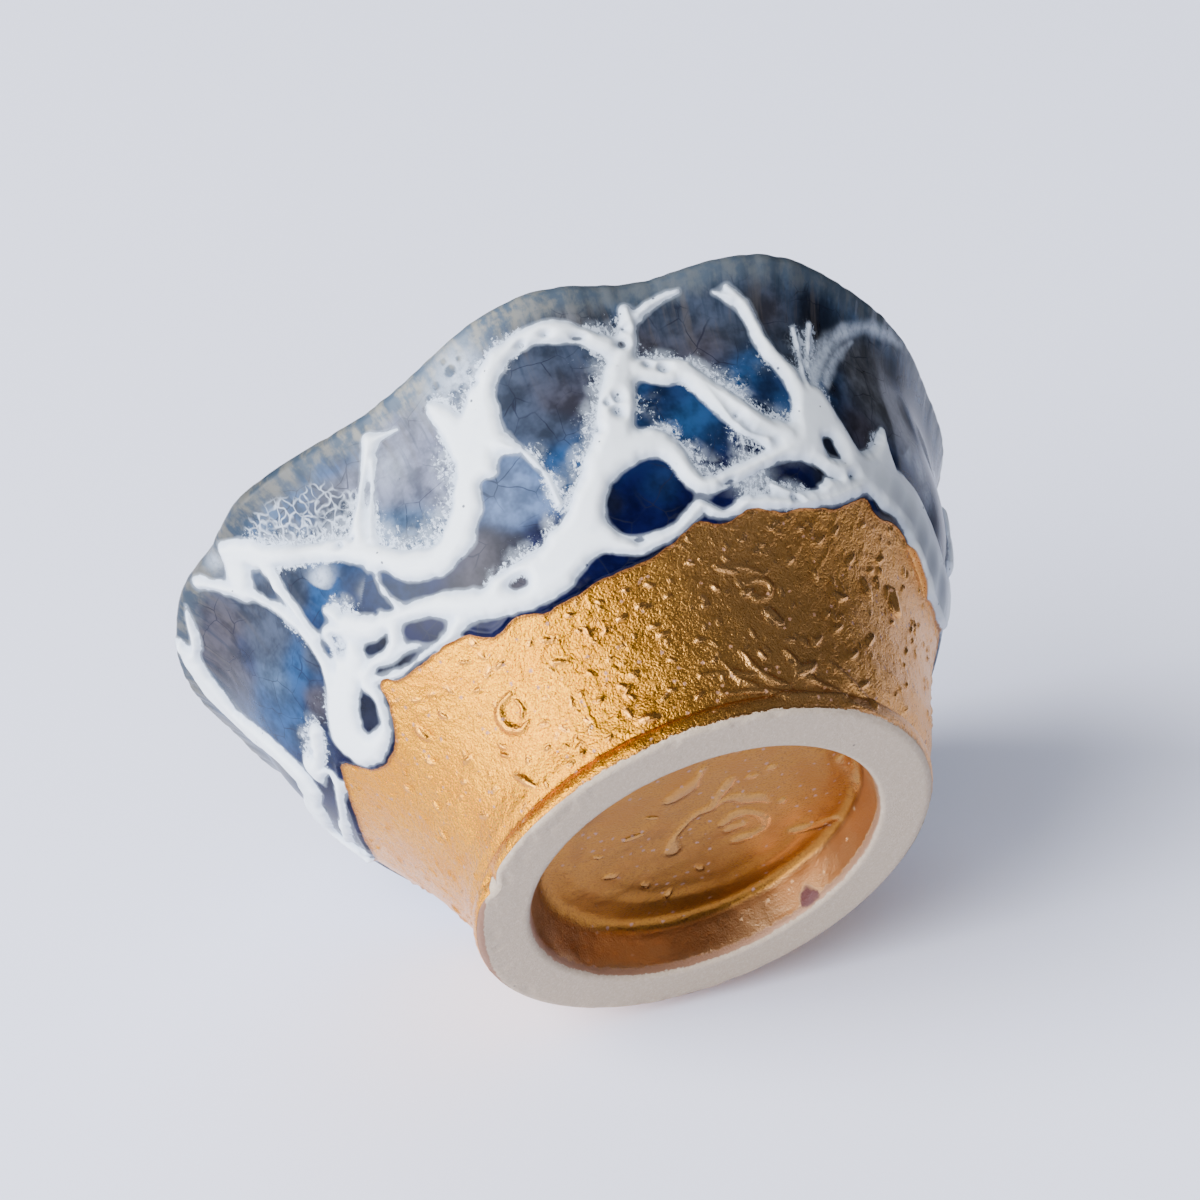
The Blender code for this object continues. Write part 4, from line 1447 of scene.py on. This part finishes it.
def frayed_lace(n, mm, lace, ratio):
    """Torn lace that frays from the strokes into the glaze."""
    fray = n.noise(n.vector("MULTIPLY", mm, (1.0, 1.0, 0.6)), 2.6, 4.0, 0.72, 0.6)
    swirl = n.noise(mm, 0.95, 4.0, 0.66, 1.4)
    twig = n.math("SUBTRACT", 1.0, n.mul(n.math("ABSOLUTE", n.sub(swirl, 0.5)), 11.0), clamp=True)
    torn = n.add(n.mul(fray, 0.80), n.mul(twig, 0.12))
    level = n.step(n.math("POWER", n.most(ratio, 0.0), 0.6), 0.0, 1.0, 0.37, 0.615)
    torn = n.mul(n.step(n.sub(torn, level), -0.05, 0.07), n.step(lace, 0.10, 0.35))
    return n.mul(torn, n.step(ratio, 1.2, 0.2, 0.25, 0.85), n.step(ratio, 1.3, 1.0))


def honeycomb(n, mm, white, comb, patchy):
    """Fine white threads between round holes."""
    wander = n.noise(mm, 0.8, 1.0, output="Color")
    bent = n.vector("MULTIPLY", mm, (1.0, 1.0, 0.7))
    bent = n.vector("ADD", bent, n.vector("MULTIPLY", wander, (1.3, 1.3, 1.3)))
    wide = n.mul(comb, n.step(white, 3.6, 0.3, 0.16, 1.0), 0.11)
    thread = n.step(n.sub(n.web(bent, 1.15), wide), 0.13, -0.05)
    return n.mul(thread, n.step(comb, 0.25, 0.55), n.step(patchy, 0.30, 0.58, 0.10, 0.68))


def white_cover(n, mm, fields):
    """How much of the white lies over the blue glaze, and how thick it is."""
    white, lace = fields["white"], fields["lace"]
    edge = n.add(white, n.mul(n.sub(n.noise(mm, 1.1, 3.0, 0.55), 0.5), 0.35))
    cover = n.step(edge, 0.08, -0.08)
    thick = n.step(edge, 0.02, -0.70)
    ratio = n.math("DIVIDE", white, n.most(n.mul(lace, 3.0), 0.05))
    patchy = n.noise(mm, 0.7, 3.0, 0.6)
    # Thin milk round the strokes
    milk = n.mul(n.step(ratio, 1.0, 0.0, 0.0, 0.40), n.step(patchy, 0.35, 0.62), n.step(lace, 0.2, 0.8))
    milk = n.most(milk, n.step(white, 0.35, 0.0, 0.0, 0.22))
    mist = n.mul(fields["veil"], n.step(n.noise(mm, 1.4, 3.0, 0.65), 0.25, 0.62, 0.50, 1.0))
    torn = frayed_lace(n, mm, lace, ratio)
    threads = honeycomb(n, mm, white, fields["comb"], patchy)
    for layer in (torn, milk, threads, mist):
        cover = n.most(cover, layer)
    # Less white where the grey field lies: thin white, and painted shade on the right side
    return n.mul(cover, n.rest(n.mul(fields["grey"], 0.75))), thick


def crackle(n, mm):
    """Thin crackle lines of the glaze, 1 on a line."""
    bent = n.vector("ADD", mm, n.noise(mm, 0.35, output="Color"))
    faint = n.step(n.noise(mm, 0.25, 2.0, 0.5), 0.38, 0.6)
    return n.mul(n.step(n.web(bent, 0.34), 0.022, 0.007), faint)


def rim_colour(n, mm, rim, streak):
    """Beige and blue mottles of the rim, with painted shade: darker at the far left and towards the right."""
    mottle = n.mul(n.noise(mm, 0.9, 3.0, 0.62), 0.9)
    beige = n.step(n.add(streak, mottle), 0.80, 1.12)
    tone = n.mix(beige, RIM_BLUE, RIM_BEIGE)
    tone = n.mix(n.step(rim, 1.4, 0.5, 0.0, 0.5), tone, RIM_EDGE)
    across = n.first("ShaderNodeSeparateXYZ", mm)
    # Painted shade and light by place: the rim's colour is halved at the far left, lifted a little in the
    # middle and darkened towards the right
    tone = n.scaled(tone, n.step(across, -24.0, -6.0, 0.5, 1.1))
    return n.mix(n.step(across, -1.0, 14.0, 0.0, 0.8), tone, RIM_SHADE)


def blue_glaze(n, mm, lay, rim, tint, crack):
    """Clouded blue glaze with its runs, its crackle and its rim."""
    cloudy = n.noise(mm, 0.45, 3.0, 0.62)
    light, dark = n.scaled(tint, 1.45), n.scaled(tint, 0.60)
    glaze = n.mix(n.step(cloudy, 0.32, 0.70), dark, light)
    run = n.noise(n.vector("MULTIPLY", lay, (1.0, 1.0, 0.10)), 0.9, 3.0, 0.62)
    for low, high, most, colour in ((0.50, 0.68, 0.55, BROWN_RUN), (0.47, 0.33, 0.6, BLUE_RUN)):
        share = n.mul(n.step(run, low, high, 0.0, most), n.step(rim, 14.0, 4.0))
        glaze = n.mix(share, glaze, colour)
    glaze = n.mix(n.mul(crack, 0.65), glaze, CRACK)
    streak = n.noise(n.vector("MULTIPLY", lay, (1.0, 1.0, 0.34)), 0.75, 3.0, 0.62)
    band = n.step(n.sub(rim, n.mul(streak, 2.4)), 3.7, 1.4)
    return n.mix(n.mul(band, 0.88), glaze, rim_colour(n, mm, rim, streak))


def white_colour(n, mm, thick):
    """White of the net, bluish where it is thin, with its pinholes."""
    snow = n.mix(thick, THIN_WHITE, WHITE_GLAZE)
    snow = n.mix(n.step(n.noise(mm, 0.5, 3.0, 0.5), 0.5, 0.75, 0.0, 0.25), snow, BLUISH_WHITE)
    distance, pick = n.dots(mm, 0.95)
    hole = n.mul(n.step(distance, 0.15, 0.10), n.step(pick, 0.88, 0.90))
    return n.mix(n.mul(hole, 0.85), snow, PINHOLE)


def glaze_part(n, mm, fields, crack):
    """Colour of the glazed wall, and how much of it is white."""
    glaze = blue_glaze(n, mm, n.field("lay", "Vector"), fields["rim"], n.field("tint", "Color"), crack)
    cover, thick = white_cover(n, mm, fields)
    cover = n.mul(cover, n.step(fields["rim"], 0.8, 2.6, 0.15, 1.0))
    return n.mix(cover, glaze, white_colour(n, mm, thick)), cover


def gold_part(n, mm, drop, bright, deep, dullness_and_painted_shade):
    """Colour, roughness, specks and grain of the gold lustre."""
    cloudy = n.noise(mm, 0.30, 3.0, 0.55)
    fine = n.noise(mm, 4.6, 2.0, 0.60)
    tone = n.mix(n.step(fine, 0.30, 0.56), deep, bright)
    warm = tuple(part * share for part, share in zip(bright, GOLD_WARMTH)) + (1.0,)
    tone = n.mix(n.step(cloudy, 0.42, 0.62, 0.0, 0.6), tone, warm)
    # Painted shade: on the gold's shaded side the colour turns towards a duller, darker gold
    tone = n.mix(n.mul(dullness_and_painted_shade, 0.9), tone, n.mix(n.step(fine, 0.30, 0.56, 0.35, 0.0), GOLD_PAINTED_SHADE, deep))
    distance, pick = n.dots(mm, 1.05)
    ragged = n.mul(n.sub(n.noise(mm, 4.0, 3.0, 0.6), 0.5), 0.45)
    speck = n.mul(n.step(n.add(distance, ragged), 0.22, 0.13), n.step(pick, 0.50, 0.60))
    tone = n.mix(n.mul(speck, 0.8), tone, GOLD_SPECK)
    tone = n.mix(n.mul(drop, 0.30), tone, GOLD_DROP)
    rough = n.add(n.step(fine, 0.3, 0.7, 0.20, 0.32), n.mul(dullness_and_painted_shade, 0.08))
    return tone, n.blend(drop, rough, 0.23), speck, fine


def clay_colour(n, mm):
    """Unglazed clay with soft mottling and a few dark pits."""
    mottled = n.step(n.noise(mm, 2.8, 3.0, 0.7), 0.40, 0.72)
    distance, pick = n.dots(mm, 0.45)
    pit = n.mul(n.step(distance, 0.09, 0.05), n.step(pick, 0.86, 0.9))
    return n.mix(n.mul(pit, 0.8), n.mix(mottled, CLAY, CLAY_PALE), CLAY_PIT)


def make_wall_material():
    """Glaze with its white net above, gold below, and clay where the lip is bare."""
    n = Nodes("glaze_net_and_gold")
    mm = n.millimetres()
    names = ("white", "gold", "lace", "comb", "veil", "grey", "rim", "drop", "clay")
    fields = {name: n.field(name) for name in names}
    glaze, cover = glaze_part(n, mm, fields, crackle(n, mm))
    across = n.first("ShaderNodeSeparateXYZ", mm)
    # Painted shade: the gold is duller and darker from the middle to the right, a little less so at the far
    # right
    dullness_and_painted_shade = n.mul(n.step(across, -4.0, 13.0), n.step(across, 14.0, 21.0, 1.0, 0.75))
    tone, rough, speck, fine = gold_part(n, mm, fields["drop"], GOLD, GOLD_DEEP, dullness_and_painted_shade)
    tone = n.mix(n.mul(n.step(fields["gold"], 0.40, 0.10), 0.85), tone, GOLD_LINE)
    on_gold = n.step(fields["gold"], -0.05, 0.05)
    tear = n.mul(n.sub(n.noise(mm, 1.6, 2.0, 0.65), 0.5), 0.6)
    edge = n.add(fields["clay"], tear)
    bare = n.step(edge, -0.04, 0.04)
    tone = n.mix(n.step(edge, -0.35, -0.02, 0.0, 0.7), tone, CLAY_LINE)
    colour = n.mix(bare, n.mix(on_gold, glaze, tone), clay_colour(n, mm))
    gloss = n.blend(fields["grey"], n.blend(cover, 0.08, 0.14), 0.55)
    grain = n.add(n.mul(fine, 0.7), n.mul(n.noise(mm, 1.3, 2.0, 0.6), 0.35))
    normal = n.bump(n.mul(grain, on_gold, n.blend(fields["drop"], 1.0, 0.2)), 0.85, 0.00020)
    n.surface(
        Base_Color=colour,
        Metallic=n.mul(on_gold, n.rest(n.mul(speck, 0.5)), n.rest(bare)),
        Roughness=n.blend(bare, n.blend(on_gold, gloss, rough), 0.82),
        Specular_IOR_Level=0.25,
        Normal=normal,
    )
    n.soften(colour, n.mul(n.blend(fields["grey"], 0.50, 0.85), n.rest(n.most(on_gold, bare))), normal)
    return n.material


def make_bowl_material():
    """The same glaze for the inside of the bowl."""
    n = Nodes("bowl_glaze")
    mm = n.millimetres()
    fields = {name: n.field(name) for name in ("white", "lace", "comb", "veil", "grey", "rim")}
    crack = crackle(n, mm)
    glaze, cover = glaze_part(n, mm, fields, crack)
    normal = n.bump(n.mul(crack, -1.0), 0.3, 0.00004)
    n.surface(Base_Color=glaze, Roughness=n.blend(cover, 0.07, 0.13), Specular_IOR_Level=0.40, Normal=normal)
    n.soften(glaze, 0.50, normal)
    return n.material


def make_foot_material():
    """Bare clay of the ring, and the satin gold of the recess, its side wall with painted shade on the left
    and painted light on the right.
    """
    n = Nodes("clay_ring_and_gold_recess")
    mm = n.millimetres()
    fields = {name: n.field(name) for name in ("clay", "drop", "spot", "up")}
    up, spot = fields["up"], fields["spot"]
    tone, rough, speck, fine = gold_part(n, mm, 0.0, SATIN_GOLD, SATIN_DEEP, 0.0)
    tone = n.mix(n.mul(fields["drop"], 0.16), tone, SATIN_DROP)
    # Painted shade and light: the side of the recess is dark brown on the left and pale gold on the right
    side = n.mix(n.step(n.first("ShaderNodeSeparateXYZ", mm), -6.0, 10.0), RECESS_SIDE_PAINTED_SHADE, RECESS_SIDE_PAINTED_LIGHT)
    tone = n.mix(n.step(up, 4.5, 3.6, 0.0, 0.85), tone, side)
    band = n.step(n.add(up, n.mul(n.noise(mm, 1.5, 2.0, 0.65), 0.8)), 1.5, 1.15)
    tone = n.mix(n.mul(band, 0.85), tone, SIDE_BAND)
    tone = n.mix(spot, tone, SIDE_SPOT)
    tear = n.mul(n.sub(n.noise(mm, 1.8, 2.0, 0.65), 0.5), 0.5)
    bare = n.step(n.add(fields["clay"], tear), -0.05, 0.05)
    dullness_and_painted_shade = n.most(n.most(n.mul(speck, 0.5), n.mul(spot, 0.8)), n.mul(band, 0.5))
    rough = n.blend(fields["drop"], n.add(rough, 0.10), 0.22)
    grit = n.mul(n.noise(mm, 4.5, 2.0, 0.7), 0.5)
    n.surface(
        Base_Color=n.mix(bare, tone, clay_colour(n, mm)),
        Metallic=n.mul(n.rest(dullness_and_painted_shade), n.rest(bare)),
        Roughness=n.blend(bare, n.blend(band, rough, 0.55), 0.88),
        Normal=n.bump(n.blend(bare, n.mul(fine, 0.5), grit), 0.5, 0.00016),
    )
    return n.material


WALL_MATERIAL = make_wall_material()
BOWL_MATERIAL = make_bowl_material()
FOOT_MATERIAL = make_foot_material()

# Where the gold laps over the foot lip on the left of the photograph
LAP_DIRECTION = 192.0
LAP_WIDTH = 30.0
LAP_DOWN = 0.8
LAP_UNDER = 1.05
# Bare clay of the ring: its upper edge outside and inside, and how far it goes past the ring underneath
CLAY_OUTSIDE = 0.36
CLAY_INSIDE = 0.30
CLAY_PAST = 0.15
RING_MIDDLE = 19.0
# Bare clay in the chip, highest in its middle
CHIP_CLAY = 1.2
CHIP_HALF = 2.6
# Reddish spot on the side of the recess
SPOT_DIRECTION = 64.0
SPOT_HEIGHT = 1.5
SPOT_HALF_WIDTH = 3.6
SPOT_HALF_HEIGHT = 1.1


def wall_of(dd, ss, base):
    """Fields of the raised outer wall."""
    z = base[..., 2]
    fields = wall_fields(dd, ss, base)
    fields["relief"] = fields["relief"] * smooth(z, 0.05, 0.6)
    fields["rim"] = ss
    chipped = CHIP_CLAY - z - (near_turn(dd, CHIP_DIRECTION) / CHIP_HALF) ** 2
    lapped = LAP_DOWN * bell(near_turn(dd, LAP_DIRECTION) / LAP_WIDTH)
    fields["clay"] = np.maximum(CLAY_OUTSIDE - lapped - z + 0.12 * cloud(base, 3.0, 60), chipped)
    return fields


def bowl_of(dd, ss, base):
    """Fields of the inside of the bowl."""
    white, tint, relief = bowl_fields(dd, ss, base)
    down = BOWL_LENGTH - ss
    kept = smooth(down, 0.0, 2.0) * smooth(ss, 0.0, 3.0)
    fields = {name: np.zeros(white.shape) for name in ("veil", "comb", "grey")}
    fields["relief"] = relief * kept + 0.20 * smooth(down, 4.0, 0.0)
    fields["white"] = white
    fields["lace"] = np.clip(0.45 + 0.6 * cloud(base, 6.0, 61), 0, 1)
    fields["tint"] = tint
    fields["rim"] = down
    fields["lay"] = laid_flat(dd, down)
    return fields


def foot_of(dd, ss, base):
    """Fields of the clay ring and of the gold recess inside it."""
    relief, drop = foot_fields(base)
    z = base[..., 2]
    radial = np.hypot(base[..., 0] - FOOT_MIDDLE[0], base[..., 1] - FOOT_MIDDLE[1])
    clay = np.where(radial > FOOT_INNER - 0.9, CLAY_INSIDE - np.where(radial < RING_MIDDLE, z, 0.0), -2.0)
    lapped = LAP_UNDER * bell(near_turn(dd, LAP_DIRECTION) / LAP_WIDTH)
    spot = (near_turn(dd, SPOT_DIRECTION) / SPOT_HALF_WIDTH) ** 2
    spot = spot + ((z - SPOT_HEIGHT) / SPOT_HALF_HEIGHT) ** 2 + 0.9 * cloud(base, 0.8, 62)
    return {
        "relief": relief * smooth(ss, 0.0, 0.4),
        "clay": np.minimum(clay, FOOT_RADIUS + CLAY_PAST - lapped - radial),
        "drop": drop,
        "up": z,
        "spot": smooth(spot, 1.2, 0.6) * smooth(z, 0.2, 0.6),
    }


# Directions and lengths at which the fine meshes have their points
FRONT_START = 172.0
FRONT_END = 368.0
FRONT = np.linspace(FRONT_START, FRONT_END, 701)
BACK = np.linspace(FRONT_END, FRONT_START + 360.0, 301)
ROUND = np.concatenate([FRONT, BACK[1:]])
NET_END = 22.0
UPPER = np.linspace(0.0, NET_END, 141)
LOWER = np.linspace(NET_END, WALL_LENGTH, 126)
BOWL_STEPS = np.linspace(0.05, BOWL_LENGTH, 41)
RING_WIDTH = 5.4
FOOT_STEPS = np.concatenate([np.linspace(0.0, RING_WIDTH, 24), np.linspace(RING_WIDTH, FOOT[2][-1], 70)[1:]])

for side, deg in (("front", FRONT), ("back", BACK)):
    for level, s in (("upper", UPPER), ("lower", LOWER)):
        add_grid(f"wall_{level}_{side}", *patch(OUTER, deg, s, wall_of), WALL_MATERIAL, "glaze")
add_grid("bowl_inside", *patch(BOWL, ROUND, BOWL_STEPS, bowl_of), BOWL_MATERIAL, "glaze")
add_grid("foot_ring_and_recess", *patch(FOOT, ROUND, FOOT_STEPS, foot_of), FOOT_MATERIAL, "glaze")


def in_metres(point):
    """Point in millimetres as a vector in metres."""
    return Vector([float(c) * MM for c in point])


def add_camera():
    """Camera of the photograph, set as the scene's camera."""
    data = bpy.data.cameras.new("photo_camera")
    data.sensor_fit = "AUTO"
    data.angle = math.radians(VIEW_FIELD)
    data.clip_start = 0.01
    camera = bpy.data.objects.new("photo_camera", data)
    turn = Matrix(CAM_AXES.T.tolist()).to_4x4()
    camera.matrix_world = Matrix.Translation(in_metres(CAM_PLACE)) @ turn
    bpy.context.scene.collection.objects.link(camera)
    bpy.context.scene.camera = camera


add_camera()

# Table on which the cup lies tipped over in the photograph
TABLE_UP = math.cos(math.radians(TABLE_PITCH)) * CAM_UP + math.sin(math.radians(TABLE_PITCH)) * CAM_BACK
TABLE_SIDE = CAM_RIGHT
TABLE_AWAY = np.cross(TABLE_UP, TABLE_SIDE)
TABLE_HEIGHT = min(float((points @ TABLE_UP).min()) for points in RAISED) * MM
TABLE_HALF = 0.5
TABLE_GAP = 0.0002


def at_table(side, away, up):
    """Point given along the table's own axes from under the cup, in metres."""
    p = TABLE_SIDE * side + TABLE_AWAY * away + TABLE_UP * (TABLE_HEIGHT + up)
    return Vector([float(c) for c in p])


def make_paper():
    """Pale paper that is seen only from its upper side."""
    n = Nodes("pale_paper")
    n.surface(Base_Color=(0.73, 0.76, 0.935, 1.0), Roughness=0.9)
    behind = n.node("ShaderNodeNewGeometry").outputs["Backfacing"]
    n.finish_with(behind, n.node("ShaderNodeBsdfTransparent").outputs[0])
    return n.material


def add_table():
    """Sheet of paper under the cup."""
    mesh = bpy.data.meshes.new("paper_sheet")
    ends = ((-1, -1), (1, -1), (1, 1), (-1, 1))
    corners = [at_table(TABLE_HALF * x, TABLE_HALF * y, -TABLE_GAP) for x, y in ends]
    mesh.from_pydata(corners, [], [(0, 1, 2, 3)])
    mesh.materials.append(make_paper())
    paper = bpy.data.objects.new("paper_sheet", mesh)
    bpy.context.scene.collection.objects.link(paper)
    if mesh.polygons[0].normal.dot(Vector(TABLE_UP.tolist())) < 0:
        mesh.flip_normals()


add_table()


def add_light(name, side, away, up, width, power, colour):
    """Soft disc light that shapes the shading, while the room's own glow gives the reflections."""
    data = bpy.data.lights.new(name, "AREA")
    data.shape = "DISK"
    data.size = width
    data.energy = power
    data.color = colour
    light = bpy.data.objects.new(name, data)
    place = at_table(side, away, up)
    toward = Vector((0.0, 0.0, 0.018)) - place
    light.matrix_world = Matrix.Translation(place) @ toward.to_track_quat("-Z", "Y").to_matrix().to_4x4()
    light.visible_glossy = False
    bpy.context.scene.collection.objects.link(light)


add_light("window_softbox", -0.95, -0.66, 0.74, 1.4, 62.0, (1.0, 0.985, 0.965))
add_light("front_fill", -0.10, -1.30, 0.55, 1.2, 13.0, (1.0, 0.98, 0.95))
add_light("back_fill", -0.30, 1.20, 0.90, 1.2, 10.0, (0.93, 0.96, 1.0))

# Glow of the room: direction along the table's axes, spread and strength
GLOWS = (
    ((-0.74, -0.56, 0.32), 0.37, 18.0),
    ((-0.90, 0.10, 0.40), 0.50, 0.40),
    ((0.60, -0.10, 0.75), 0.60, 0.25),
)
ROOM_BASE = 0.07
ROOM_COLOUR = (0.86, 0.91, 1.0, 1.0)


def make_room():
    """Room light: a soft bright window on one side, dim on the other."""
    world = bpy.data.worlds.new("studio")
    bpy.context.scene.world = world
    world.use_nodes = True
    tree = world.node_tree
    way = tree.nodes.new("ShaderNodeTexCoord").outputs["Generated"]

    def calc(kind, operation, output, a, b):
        """One node of the sum, fed with two values or sockets."""
        made = tree.nodes.new(kind)
        made.operation = operation
        for socket, value in zip(made.inputs, (a, b)):
            if isinstance(value, bpy.types.NodeSocket):
                tree.links.new(value, socket)
            else:
                socket.default_value = value
        return made.outputs[output]

    def sums(operation, a, b):
        """One sum of two numbers."""
        return calc("ShaderNodeMath", operation, 0, a, b)

    total = ROOM_BASE
    for direction, spread, strength in GLOWS:
        middle = direction[0] * TABLE_SIDE + direction[1] * TABLE_AWAY + direction[2] * TABLE_UP
        middle = (middle / np.linalg.norm(middle)).tolist()
        facing = calc("ShaderNodeVectorMath", "DOT_PRODUCT", "Value", way, middle)
        falloff = sums("MULTIPLY", sums("SUBTRACT", facing, 1.0), 2.0 / spread ** 2)
        total = sums("ADD", sums("MULTIPLY", sums("EXPONENT", falloff, 0.0), strength), total)
    sky = tree.nodes["Background"]
    sky.inputs["Color"].default_value = ROOM_COLOUR
    tree.links.new(total, sky.inputs["Strength"])


make_room()
